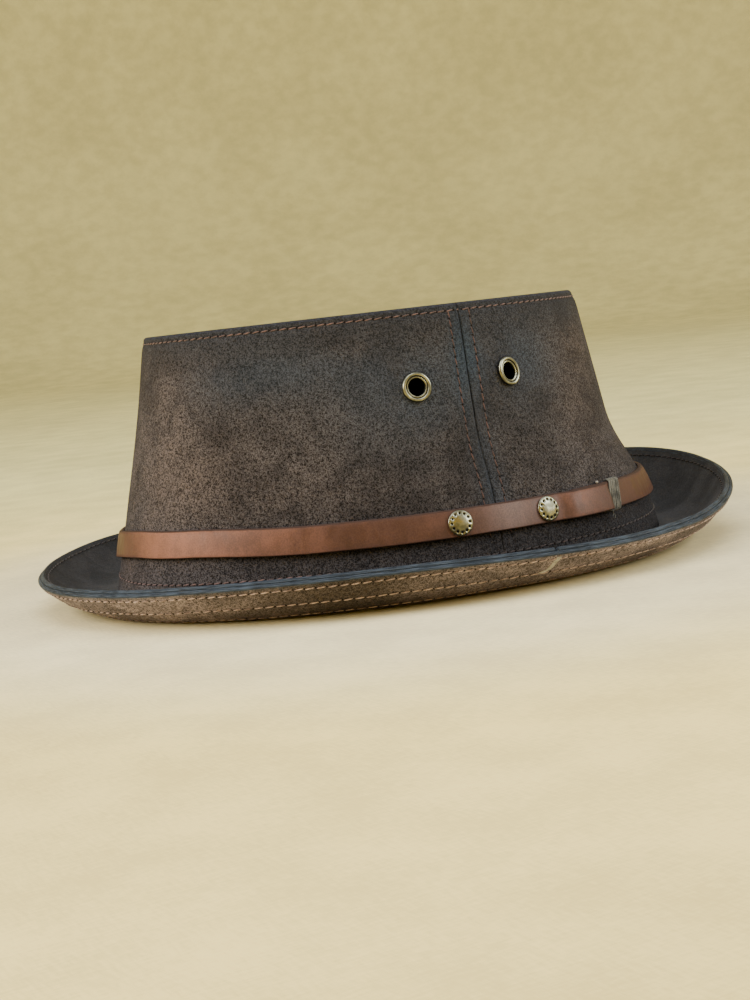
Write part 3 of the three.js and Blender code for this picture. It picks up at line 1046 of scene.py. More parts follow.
@dataclass(frozen=True)
class CrownPanels:
    """The two side panels, which meet in a butt seam on each side of the head."""

    seam_half_angle: float = 0.09
    rim_round: float = 1.1
    inner_round: float = 0.35
    fine_near_seam: float = 4.5
    fine_above: float = 88.0
    raw_from: float = 1.9
    raw_full: float = 0.4
    seam_dye: float = 0.9
    seam_dye_behind: float = 0.8
    seam_dye_width: float = 5.5
    rim_dye: float = 0.45
    rim_dye_depth: float = 10.0
    # Painted shade under the strap and near the rim, with less of it at the left front, where the light
    # falls.
    strap_shade: float = 0.85
    strap_shade_full: float = 17.0
    strap_shade_end: float = 25.0
    rim_shade: float = 0.6
    rim_shade_depth: float = 17.0
    lit_front_bearing: float = -92.0
    lit_front_width: float = 60.0
    # Lighter patches: rubbed nap, and painted light on the front, where the light falls.
    rubbed_and_lit_patches: tuple[SoftPatch, ...] = (
        SoftPatch(-104, 50, 34, 40, 0.35),
        SoftPatch(-74, 42, 26, 20, 0.7),
        SoftPatch(-80, 70, 13, 16, 0.45),
        SoftPatch(-40, 40, 30, 12, 0.2),
        SoftPatch(-92, 13, 18, 6, 0.5),
        SoftPatch(34, 56, 16, 20, 0.45),
        SoftPatch(54, 40, 16, 16, 0.3),
        SoftPatch(46, 74, 14, 12, 0.45),
        SoftPatch(140, 55, 30, 26, 0.5),
        SoftPatch(215, 60, 30, 24, 0.5),
    )
    cool_patches: tuple[SoftPatch, ...] = (
        SoftPatch(-50, 80, 30, 10, 0.65),
        SoftPatch(-16, 70, 26, 20, 0.7),
        SoftPatch(14, 74, 18, 18, 0.7),
        SoftPatch(36, 88, 16, 5, 0.4),
        SoftPatch(120, 80, 36, 14, 0.7),
        SoftPatch(200, 78, 34, 14, 0.7),
    )

    def bearings(self, start: float) -> list[float]:
        """Gives the bearings of a panel's columns, close together near its seams."""
        near = self.fine_near_seam
        first = start + self.seam_half_angle
        last = start + 180 - self.seam_half_angle
        return [
            *spread(first, start + near, 16),
            *spread(start + near, start + 180 - near, 171)[1:-1],
            *spread(start + 180 - near, last, 16),
        ]

    def section(self) -> list[tuple[float, float]]:
        """Gives the distance out and the level of each point round a panel's wall."""
        shape = SHAPE
        inner = -shape.crown_leather
        outer = [(0.0, level) for level in spread(shape.foot, self.fine_above, 38)]
        outer += [(0.0, level) for level in spread(self.fine_above, shape.top - self.rim_round, 14)[1:]]
        rim = [(-behind, shape.top - ahead) for ahead, behind in rounded(self.rim_round, 6)[1:]]
        turn_in = [(inner + ahead, shape.top - behind) for ahead, behind in rounded(self.inner_round, 3)]
        down = [(inner, level) for level in spread(shape.top - self.inner_round, shape.foot, 14)[1:]]
        loop = [*outer, *rim, *turn_in, *down]
        return [*loop, loop[0]]

    def raw_edge(self, level: float) -> float:
        """Gives 1 on the raw rim, falling to 0 just below it."""
        return smooth_step(level, SHAPE.top - self.raw_from, SHAPE.top - self.raw_full)

    def cool(self, bearing: float, level: float) -> float:
        """Gives how blue-grey the dye is at a place."""
        seam = SHAPE.seam_distance(bearing, level)
        side = 1.0 if math.sin(math.radians(bearing)) < 0 else self.seam_dye_behind
        near_seam = self.seam_dye * side * bell(seam, self.seam_dye_width) * RELIEF.seam_opening(level)
        near_rim = self.rim_dye * smooth_step(level, SHAPE.top - self.rim_dye_depth, SHAPE.top - 1)
        patches = sum(patch.at(SHAPE, bearing, level) for patch in self.cool_patches)
        return min(max(near_seam, near_rim) + patches, 1.0)

    def warm(self, bearing: float, level: float) -> float:
        """Gives how far the nap is lighter brown at a place: rubbed nap, and painted light on the lit
        front.
        """
        return min(sum(patch.at(SHAPE, bearing, level) for patch in self.rubbed_and_lit_patches), 1.0)

    def dark(self, bearing: float, level: float) -> float:
        """Gives how much painted shade lies on a place: most under the strap and near the rim, little at
        the lit left front.
        """
        # The left front is where the light falls, so it takes little painted shade.
        paler = bell(turn_between(bearing, self.lit_front_bearing), self.lit_front_width)
        under_strap = (1 - smooth_step(level, self.strap_shade_full, self.strap_shade_end)) * (1 - paler)
        near_rim = smooth_step(level, SHAPE.top - self.rim_shade_depth, SHAPE.top - 1)
        return min(self.strap_shade * under_strap + self.rim_shade * near_rim, 1.0)

    def build(self, maker: Maker, wardrobe: Wardrobe) -> None:
        """Builds both panels with their eyelet holes."""
        section = self.section()
        for node, start in (("crown_front", 180.0), ("crown_rear", 0.0)):
            bearings = self.bearings(start)

            def place(column: int, row: int) -> Vector:
                out, level = section[row]
                bearing = bearings[column]
                shift = SHAPE.rim_shift(bearing, level, SHAPE.rim_lean_from)
                return RELIEF.surface(bearing, level + shift, out)

            mesh = bent_sheet(len(bearings) - 1, len(section) - 1, place, {
                Attribute.EDGE: lambda column, row: self.raw_edge(section[row][1]),
                Attribute.BLUE_DYE_AND_SHEEN: lambda column, row: self.cool(bearings[column], section[row][1]),
                Attribute.RUBBED_AND_LIT: lambda column, row: self.warm(bearings[column], section[row][1]),
                Attribute.PAINTED_SHADE: lambda column, row: self.dark(bearings[column], section[row][1]),
            })
            close_ends(mesh)
            panel = maker.piece(f"{node}_leather", mesh, [wardrobe.crown], [node])
            holes = [
                (RELIEF.surface(bearing, level), SHAPE.face_normal(bearing, level))
                for _, bearing, level in HARDWARE.eyelet_places
                if (math.sin(math.radians(bearing)) > 0) == (node == "crown_rear")
            ]
            maker.drill(panel, holes, HARDWARE.eyelet_hole)


@dataclass(frozen=True)
class CrownTop:
    """The sunk top: a flange inside the rim, a turn, and a slightly domed floor."""

    sink: float = 9.5
    turn_inset: float = 3.4
    turn_height: float = 3.6
    inner_turn: float = 0.8
    doming: float = 2.6
    wave_height: float = 0.7
    wave_length: float = 30.0
    edge_round: float = 0.45
    dye: float = 0.5
    dye_depth: float = 8.0
    paler: float = 0.5
    rubbed_share: float = 0.6

    def section(self) -> list[tuple[float, float, float]]:
        """Gives distance out, level and share of the floor's radius, from centre to centre."""
        shape = SHAPE
        floor = shape.top - self.sink
        outer = -(shape.crown_leather + shape.gap)
        inner = outer - shape.tip_leather
        rings = spread(0, 1, 26)
        bend = rounded(1.0, 9)[1:]
        edge = rounded(self.edge_round, 4)
        lowest = floor - shape.tip_leather
        wall_foot = floor + self.turn_height
        wall_top = shape.top - self.edge_round
        under = [(outer - self.turn_inset, lowest, ring) for ring in rings]
        under += [(outer - self.turn_inset * ahead, lowest + (wall_foot - lowest) * behind, 1.0)
                  for ahead, behind in bend]
        rise = [(outer, level, 1.0) for level in spread(wall_foot, wall_top, 5)]
        lip = [(outer - behind, shape.top - ahead, 1.0) for ahead, behind in edge]
        lip += [(inner + ahead, shape.top - behind, 1.0) for ahead, behind in edge]
        fall = [(inner, level, 1.0) for level in spread(wall_top, wall_foot, 8)]
        inset = self.turn_inset * self.inner_turn
        over = [(inner - inset * behind, floor + self.turn_height * ahead, 1.0) for ahead, behind in bend]
        over += [(inner - inset, floor, ring) for ring in reversed(rings[:-1])]
        return [*under, *rise[1:], *lip[1:], *fall[1:], *over]

    def build(self, maker: Maker, wardrobe: Wardrobe) -> None:
        """Builds the top."""
        section = self.section()
        columns = 300
        centre = Vector((0, SHAPE.top_set_back, 0))
        flange_foot = SHAPE.top - self.sink + self.turn_height

        def place(column: int, row: int) -> Vector:
            out, level, ring = section[row]
            bearing = (column % columns) * 360 / columns
            bent = out - RELIEF.lean(bearing, level) * (ring == 1)
            spot = SHAPE.beside(bearing, level + SHAPE.rim_shift(bearing, level, flange_foot), bent)
            if ring < 1:
                flat = (spot - centre) * ring + centre
                waves = self.wave_height * (1 - ring ** 6) * noise.noise(flat / self.wave_length)
                spot = Vector((flat.x, flat.y, level + self.doming * (1 - ring * ring) + waves))
            return spot

        def cool(column: int, row: int) -> float:
            return self.dye * smooth_step(section[row][1], SHAPE.top - self.dye_depth, SHAPE.top)

        panels = CrownPanels()
        mesh = bent_sheet(columns, len(section) - 1, place, {
            Attribute.EDGE: lambda column, row: panels.raw_edge(section[row][1]),
            Attribute.BLUE_DYE_AND_SHEEN: cool,
            Attribute.RUBBED_AND_LIT: lambda column, row: self.paler * bell(section[row][2], self.rubbed_share),
        })
        close_ends(mesh)
        maker.piece("crown_tip_leather", mesh, [wardrobe.crown], ["crown_tip"])


@dataclass(frozen=True)
class Brim:
    """Two layers of leather, turned up together, with painted edges and a seam on the left."""

    edge_round: float = 0.42
    facing_round: float = 0.24
    edge_swell: float = 0.12
    seam_bearing: float = 1.2
    notch_depth: float = 1.3
    notch_half_angle: float = 0.42
    joint_depth: float = 0.5
    joint_half_angle: float = 0.18
    wave_height: float = 0.3
    wave_length: float = 26.0
    wave_from: float = 2.0
    wave_full: float = 10.0
    paint_solid: float = 0.1
    paint_reach: float = 0.6
    # Painted shade on the front of the brim, which faces down and is lit less.
    shade: float = 0.95
    shade_bearing: float = -32.0
    shade_width: float = 19.0

    def bearings(self) -> list[float]:
        """Gives the bearings of the brim's columns, closer together at its seam."""
        seam = self.seam_bearing
        return [*spread(seam - 1.0, seam + 1.0, 24), *spread(seam + 1.0, seam + 359.0, 430)[1:]]

    def edge_rows(self, low: float, high: float, below: float, above: float) -> list[tuple[float, float]]:
        """Gives distance short of the edge and depth, once round the cut edge of a layer.

        Args:
            low: Depth of the layer's lower face.
            high: Depth of its upper face.
            below: Radius of the edge's lower corner.
            above: Radius of its upper corner.

        Returns:
            The distances and depths.
        """
        lower = [(ahead, low + behind) for ahead, behind in rounded(below, 4)]
        upper = [(behind, high - ahead) for ahead, behind in rounded(above, 4)]
        face = [(0.0, depth) for depth in spread(low + below, high - above, 3)[1:-1]]
        return [*lower, *face, *upper]

    def relief(self, bearing: float, run: float) -> float:
        """Gives how far the leather's faces wander from their plain form."""
        spot = SHAPE.brim_spot(bearing, run, 0) / self.wave_length
        return self.wave_height * smooth_step(run, self.wave_from, self.wave_full) * noise.noise(spot)

    def point(self, bearing: float, short: float, run_share: float, depth: float) -> Vector:
        """Gives a point on a layer, by its share of the run and its distance short of that."""
        run = (SHAPE.brim_run(bearing) - self.edge_round) * run_share
        if run_share >= 1.0:
            run += self.edge_round
        return SHAPE.brim_spot(bearing, run - short, depth + self.relief(bearing, run - short))

    def build_layer(self, maker: Maker, name: str, node: str, material: bpy.types.Material,
                    low: float, high: float, notched: bool) -> None:
        """Builds one layer of the brim.

        Args:
            maker: Finishes the piece.
            name: The piece's name.
            node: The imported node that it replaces.
            material: Its finish.
            low: Depth of its lower face.
            high: Depth of its upper face.
            notched: Whether its cut edge has a nick at the seam.
        """
        bearings = self.bearings()
        shares = [*spread(0, 0.92, 26), *spread(0.92, 1, 6)[1:]]
        corners = (self.facing_round, self.edge_round) if notched else (self.edge_round, self.facing_round)
        edge = self.edge_rows(low, high, *corners)
        ring = spread(-(SHAPE.flat_ring + SHAPE.crown_leather), 0.0, 4)[:-1]
        rows = [(0.0, -run, low) for run in ring]
        rows += [(share, 0.0, low) for share in shares[:-1]]
        rows += [(1.0, short, depth) for short, depth in edge]
        rows += [(share, 0.0, high) for share in reversed(shares[:-1])]
        rows += [(0.0, -run, high) for run in reversed(ring)]
        rows.append(rows[0])

        def place(column: int, row: int) -> Vector:
            share, short, depth = rows[row]
            bearing = bearings[column]
            nick = 0.0
            off_seam = abs(bearing - self.seam_bearing)
            if share == 1.0 and notched:
                nick = self.notch_depth * max(1 - off_seam / self.notch_half_angle, 0.0)
            joint = 0.0
            if not notched and depth == low:
                joint = self.joint_depth * max(1 - off_seam / self.joint_half_angle, 0.0)
            facing = (depth - high if notched else depth - low) / (high - low)
            swell = self.edge_swell * facing * smooth_step(share, 0.93, 1.0)
            return self.point(bearing, short + nick, share, depth + joint + swell)

        def painted(column: int, row: int) -> float:
            share, short, _ = rows[row]
            inset = short if share == 1.0 else (1 - share) * SHAPE.brim_run(bearings[column])
            return 1 - smooth_step(inset, self.paint_solid, self.paint_reach)

        def dark(column: int, row: int) -> float:
            return self.shade * bell(turn_between(bearings[column], self.shade_bearing), self.shade_width)

        tones = {Attribute.EDGE: painted, Attribute.PAINTED_SHADE: dark}
        mesh = bent_sheet(len(bearings) - 1, len(rows) - 1, place, tones)
        close_ends(mesh)
        maker.piece(name, mesh, [material], [node])

    def build(self, maker: Maker, wardrobe: Wardrobe) -> None:
        """Builds the two layers."""
        leather = SHAPE.brim_leather
        above = leather + SHAPE.gap
        self.build_layer(maker, "brim_under_leather", "brim_under", wardrobe.under,
                         0.0, leather, notched=False)
        self.build_layer(maker, "brim_top_leather", "brim_top", wardrobe.brim,
                         above, above + leather, notched=True)


@dataclass(frozen=True)
class Strap:
    """The strap round the crown, lapped over its own tucked-in end and lashed down."""

    inner_end: float = 18.8
    ramp_start: float = 13.8
    ramp_end: float = 18.2
    outer_end: float = 28.4
    edge_round: float = 0.5
    crowning: float = 0.14
    wave_height: float = 0.12
    wave_angle: float = 7.0
    # Bearing, width and strength of each stretch of painted sheen; a negative strength is painted shade.
    sheen_and_shade_spots: tuple[tuple[float, float, float], ...] = (
        (-73, 14, 0.95),
        (-50, 12, 0.35),
        (19, 7, 0.3),
        (42, 14, -0.14),
        (120, 24, 0.6),
        (205, 28, 0.7),
    )
    # Painted greyish sheen between the studs.
    grey_sheen_strength: float = 0.75
    grey_sheen_bearing: float = 2.5
    grey_sheen_width: float = 5.5
    lash_start: float = 29.0
    lash_end: float = 32.3
    strands: int = 6
    strand_radius: float = 0.38
    lash_shift: float = 0.7
    lash_slant: float = 4.6
    thread_gap: float = 0.08
    knot_bearing: float = 27.9
    knot_rise: float = 0.5
    knot_out: float = 0.9
    knot_radius: float = 0.52

    def stand_off(self, bearing: float) -> float:
        """Gives how far the strap's inner face stands off the crown."""
        raised = smooth_step(bearing, self.ramp_start + 360, self.ramp_end + 360)
        return SHAPE.gap + raised * (SHAPE.strap_leather + SHAPE.gap)

    def section(self) -> list[tuple[float, float]]:
        """Gives height above the lower edge and distance out, once round the strap."""
        width = SHAPE.strap_width
        thick = SHAPE.strap_leather
        rounding = self.edge_round
        loop = rounded(rounding, 4)
        loop += [(behind, thick - ahead) for ahead, behind in rounded(rounding, 4)]
        for height in spread(rounding, width - rounding, 10)[1:-1]:
            share = (height - rounding) / (width - 2 * rounding) * 2 - 1
            loop.append((height, thick + self.crowning * (1 - share * share)))
        loop += [(width - y, x) for y, x in reversed(loop[:10])]
        return [*loop, loop[0]]

    def edge_tone(self, height: float) -> float:
        """Gives 1 on the strap's cut edges, falling to 0 on its face."""
        return 1 - smooth_step(min(height, SHAPE.strap_width - height), 0.1, 0.9)

    def sheen_and_shade(self, bearing: float) -> float:
        """Gives the painted sheen along the strap at a bearing, with painted shade where it is below 0."""
        return sum(strength * bell(turn_between(bearing, middle), width)
                   for middle, width, strength in self.sheen_and_shade_spots)

    def grey_sheen(self, bearing: float) -> float:
        """Gives how much painted greyish sheen lies on the strap at a bearing."""
        return self.grey_sheen_strength * bell(turn_between(bearing, self.grey_sheen_bearing), self.grey_sheen_width)

    def build(self, maker: Maker, wardrobe: Wardrobe) -> None:
        """Builds the strap, its lashing and its loose thread ends."""
        bearings = [*spread(self.inner_end, 373, 330), *spread(373, self.outer_end + 360, 40)[1:]]
        section = self.section()

        def place(column: int, row: int) -> Vector:
            height, out = section[row]
            bearing = bearings[column]
            wave = self.wave_height * noise.noise(Vector((bearing / self.wave_angle, 0.3, 0.9)))
            level = SHAPE.strap_edge(bearing) + height + wave
            return SHAPE.beside(bearing, level, self.stand_off(bearing) + out)

        mesh = bent_sheet(len(bearings) - 1, len(section) - 1, place, {
            Attribute.EDGE: lambda column, row: self.edge_tone(section[row][0]),
            Attribute.RUBBED_AND_LIT: lambda column, row: self.sheen_and_shade(bearings[column]),
            Attribute.BLUE_DYE_AND_SHEEN: lambda column, row: self.grey_sheen(bearings[column]),
        })
        close_ends(mesh)
        maker.piece("strap_leather", mesh, [wardrobe.strap], ["strap"])
        self.build_lashing(maker, wardrobe)

    def build_lashing(self, maker: Maker, wardrobe: Wardrobe) -> None:
        """Builds the waxed thread beside the strap's outer end, with its tails and its knot."""
        radius = self.strand_radius
        over = SHAPE.gap + SHAPE.strap_leather + radius + self.thread_gap
        near = SHAPE.gap * 0.5
        paths = []
        for index, bearing in enumerate(spread(self.lash_start, self.lash_end, self.strands - 1)):
            low = SHAPE.strap_edge(bearing)
            high = low + SHAPE.strap_width
            lean = 0.35 * math.sin(2.4 * index + 0.7)
            bulge = 0.1 * math.sin(1.7 * index)
            slant = lean - self.lash_slant
            places = (
                (high + 0.35, near, 0.0),
                (high + 0.45, over * 0.6, 0.1),
                (high + 0.2, over, 0.2),
                (high - 1.2, over + 0.1, 0.3),
                (high - 4.0, over + 0.12 + bulge, 0.5),
                (low + 1.2, over + 0.1, 0.7),
                (low - 0.2, over, 0.8),
                (low - 0.45, over * 0.6, 0.9),
                (low - 0.35, near, 1.0),
            )
            paths.append([
                SHAPE.beside(bearing + self.lash_shift + slant * (share - 0.5), level, out)
                for level, out, share in places
            ])
        maker.piece("strap_lashing_thread", threads(paths, radius),
                    [wardrobe.waxed_thread], ["strap_lashing"])
        low = SHAPE.strap_edge(28.0)
        tails = (
            [(29.4, -0.3, over), (28.9, -1.2, 2.2), (28.2, -1.9, 2.9), (27.4, -2.2, 3.6)],
            [(29.0, -0.3, over), (28.6, -0.9, 2.6), (28.4, -2.2, 3.4), (27.9, -3.1, 3.7)],
        )
        loose = [[SHAPE.beside(bearing, low + rise, out) for bearing, rise, out in tail] for tail in tails]
        maker.piece("strap_thread_tails", threads(loose, 0.1), [wardrobe.waxed_thread])
        mesh = bmesh.new()
        knot = SHAPE.beside(self.knot_bearing, low + SHAPE.strap_width + self.knot_rise, self.knot_out)
        bmesh.ops.create_uvsphere(mesh, u_segments=20, v_segments=14, radius=self.knot_radius,
                                  matrix=seat(knot, SHAPE.outwards(self.knot_bearing)))
        maker.piece("strap_thread_knot", mesh, [wardrobe.pale_thread])


@dataclass(frozen=True)
class BrassParts:
    """The domed studs and the rolled eyelets."""

    stud_radius: float = 4.4
    stud_bead: float = 0.25
    stud_bead_level: float = 0.55
    stud_groove: float = 0.35
    stud_face: float = 0.8
    stud_dome: float = 0.78
    post_radius: float = 1.2
    post_end: float = -1.5
    post_shoulder: float = 0.3
    stud_dots: int = 12
    dot_ring: float = 3.3
    dot_radius: float = 0.42
    dot_depth: float = 0.4
    dotted_above: float = 0.6
    eyelet_radius: float = 5.2
    eyelet_bore: float = 3.1
    eyelet_roll: float = 1.0
    eyelet_roll_width: float = 1.5
    eyelet_bead: float = 0.34
    eyelet_lift: float = 0.15
    sleeve_radius: float = 3.4
    washer_gap: float = 0.35
    washer_radius: float = 4.5
    washer_thickness: float = 0.5
    groove_patina_and_shade: float = 0.75
    groove_patina_and_shade_width: float = 0.24

    def stud_profile(self) -> list[tuple[float, float]]:
        """Gives the profile of a stud's head, from its post to the top of its dome."""
        radius = self.stud_radius
        bead = self.stud_bead
        post = self.post_radius
        rim = [(radius - bead + bead * sine, self.stud_bead_level - bead * cosine)
               for cosine, sine in arc(0, 180, 8)]
        dome = [(out, self.stud_face + self.stud_dome * (1 - (out / radius) ** 2))
                for out in spread(radius - self.stud_groove, 0.0, 34)]
        return [(0.0, self.post_end), (post, self.post_end), (post, self.post_shoulder), *rim, *dome]

    def build_stud(self, maker: Maker, wardrobe: Wardrobe, node: str, bearing: float) -> None:
        """Builds a stud with its ring of punched dots."""
        level = SHAPE.strap_edge(bearing) + SHAPE.strap_width / 2
        mesh = turned(self.stud_profile(), 120)
        layer = mesh.verts.layers.float.new(Attribute.EDGE.value)
        dots = [(self.dot_ring * cosine, self.dot_ring * sine)
                for cosine, sine in arc(0, 360, self.stud_dots)[1:]]
        for vert in mesh.verts:
            if vert.co.z > self.dotted_above:
                pit = bell(min(math.hypot(vert.co.x - x, vert.co.y - y) for x, y in dots), self.dot_radius)
                vert[layer] = smooth_step(pit, 0.25, 0.6)
                vert.co.z -= self.dot_depth * pit
        place = SHAPE.beside(bearing, level, SHAPE.gap + SHAPE.strap_leather)
        bmesh.ops.transform(mesh, matrix=seat(place, SHAPE.face_normal(bearing, level)), verts=mesh.verts)
        maker.piece(f"{node}_brass", mesh, [wardrobe.brass], [node])

    def eyelet_profile(self) -> list[tuple[float, float]]:
        """Gives the closed profile of an eyelet, from its washer inside to its rolled rim outside."""
        front = 0.05
        back = -(SHAPE.crown_leather + self.washer_gap)
        end = back - self.washer_thickness
        half = self.eyelet_roll_width / 2
        middle = self.eyelet_radius - half
        bead = self.eyelet_bead
        inner = self.eyelet_bore + bead
        bore, sleeve, washer = self.eyelet_bore, self.sleeve_radius, self.washer_radius
        roll = [(inner - bead * cosine, bead * (1 + sine)) for cosine, sine in arc(0, 150, 10)]
        roll += [(middle - half * cosine, self.eyelet_lift + self.eyelet_roll * sine)
                 for cosine, sine in arc(40, 180, 18)]
        return [(bore, end), *roll, (self.eyelet_radius - 0.3, front), (sleeve, front), (sleeve, back),
                (washer, back), (washer + 0.1, (back + end) / 2), (washer, end), (bore, end)]

    def build_eyelet(self, maker: Maker, wardrobe: Wardrobe, node: str, bearing: float,
                     level: float) -> None:
        """Builds an eyelet."""
        mesh = turned(self.eyelet_profile(), 72)
        layer = mesh.verts.layers.float.new(Attribute.EDGE.value)
        groove = self.eyelet_bore + 2 * self.eyelet_bead
        for vert in mesh.verts:
            # Darker in the groove, with patina and painted shade, and painted shadow where the rim sits on
            # the leather and down the bore.
            reach = math.hypot(vert.co.x, vert.co.y)
            seat_shadow = smooth_step(reach, self.eyelet_radius - 0.12, self.eyelet_radius)
            groove_dark = max(self.groove_patina_and_shade * bell(reach - groove, self.groove_patina_and_shade_width), seat_shadow)
            vert[layer] = max(groove_dark, smooth_step(-vert.co.z, -0.1, 0.6))
        askew = RELIEF.eyelet_tilt if bearing == RELIEF.eyelet_bearing else 0.0
        place = RELIEF.surface(bearing, level, 0.05 + 0.02 * askew)
        outwards = Matrix.Rotation(math.radians(askew), 3, "Z") @ SHAPE.face_normal(bearing, level)
        bmesh.ops.transform(mesh, matrix=seat(place, outwards), verts=mesh.verts)
        maker.piece(f"{node}_brass", mesh, [wardrobe.brass], [node])

    def build(self, maker: Maker, wardrobe: Wardrobe) -> None:
        """Builds the studs and the eyelets."""
        for node, bearing in HARDWARE.stud_bearings:
            self.build_stud(maker, wardrobe, node, bearing)
        for node, bearing, level in HARDWARE.eyelet_places:
            self.build_eyelet(maker, wardrobe, node, bearing, level)


@dataclass(frozen=True)
class StitchRow:
    """A row of stitches along a path, with a dark mark of painted shade for a needle hole between each
    two.
    """

    path: Callable[[float], Vector]
    outwards: Callable[[float], Vector]
    start: float
    end: float
    pitch: float
    thread: float = 0.36
    hole_shade: float = 0.5
    slant: float = 9.0
    length_share: float = 0.44
    flatness: float = 0.85
    proud: float = 0.1
    hole_narrowing: float = 0.8
    hole_depth: float = 0.14
    samples: int = 720

    def stops(self) -> list[float]:
        """Gives the values of the path's parameter at which the needle went in, evenly spaced."""
        values = spread(self.start, self.end, self.samples)
        points = [self.path(value) for value in values]
        length = sum((second - first).length for first, second in zip(points, points[1:]))
        pitch = length / max(round(length / self.pitch), 1)
        run = 0.0
        wanted = 0.0
        found = []
        for index in range(1, len(values)):
            step = (points[index] - points[index - 1]).length
            while run + step >= wanted - WELD:
                share = (wanted - run) / step if step else 0.0
                found.append(values[index - 1] + (values[index] - values[index - 1]) * share)
                wanted += pitch
            run += step
        return found

    def shapes(self) -> tuple[bpy.types.Mesh, bpy.types.Mesh]:
        """Makes the shape of one stitch, as material 0, and of the painted shade of one needle hole, as
        material 1.
        """
        made = []
        stitch = (self.pitch * self.length_share, self.thread, self.thread * self.flatness)
        hole_shade = (self.hole_shade * self.hole_narrowing, self.hole_shade, self.hole_depth)
        for index, (name, along, size) in enumerate((("stitch", 6, stitch), ("needle_hole_shade", 4, hole_shade))):
            mesh = bmesh.new()
            bmesh.ops.create_uvsphere(mesh, u_segments=8, v_segments=along, radius=1.0,
                                      matrix=Matrix.Diagonal((*size, 1.0)))
            for face in mesh.faces:
                face.material_index = index
            made.append(bpy.data.meshes.new(name))
            mesh.to_mesh(made[-1])
            mesh.free()
        return made[0], made[1]

    def add_to(self, mesh: bmesh.types.BMesh) -> None:
        """Adds the row's stitches and its needle holes to a mesh."""
        stitch, hole_shade = self.shapes()
        lean = Matrix.Rotation(math.radians(self.slant), 4, "Z")
        stops = self.stops()
        for first, second in zip(stops, stops[1:]):
            here = self.path(first)
            along = self.path(second) - here
            middle = (first + second) / 2
            out = self.outwards(middle)
            stitched = seat(self.path(middle) + out * self.proud, out, along) @ lean
            pierced = seat(here, self.outwards(first), along)
            for shape, place in ((stitch, stitched), (hole_shade, pierced)):
                shape.transform(place)
                mesh.from_mesh(shape)
                shape.transform(place.inverted())
        bpy.data.meshes.remove(stitch)
        bpy.data.meshes.remove(hole_shade)


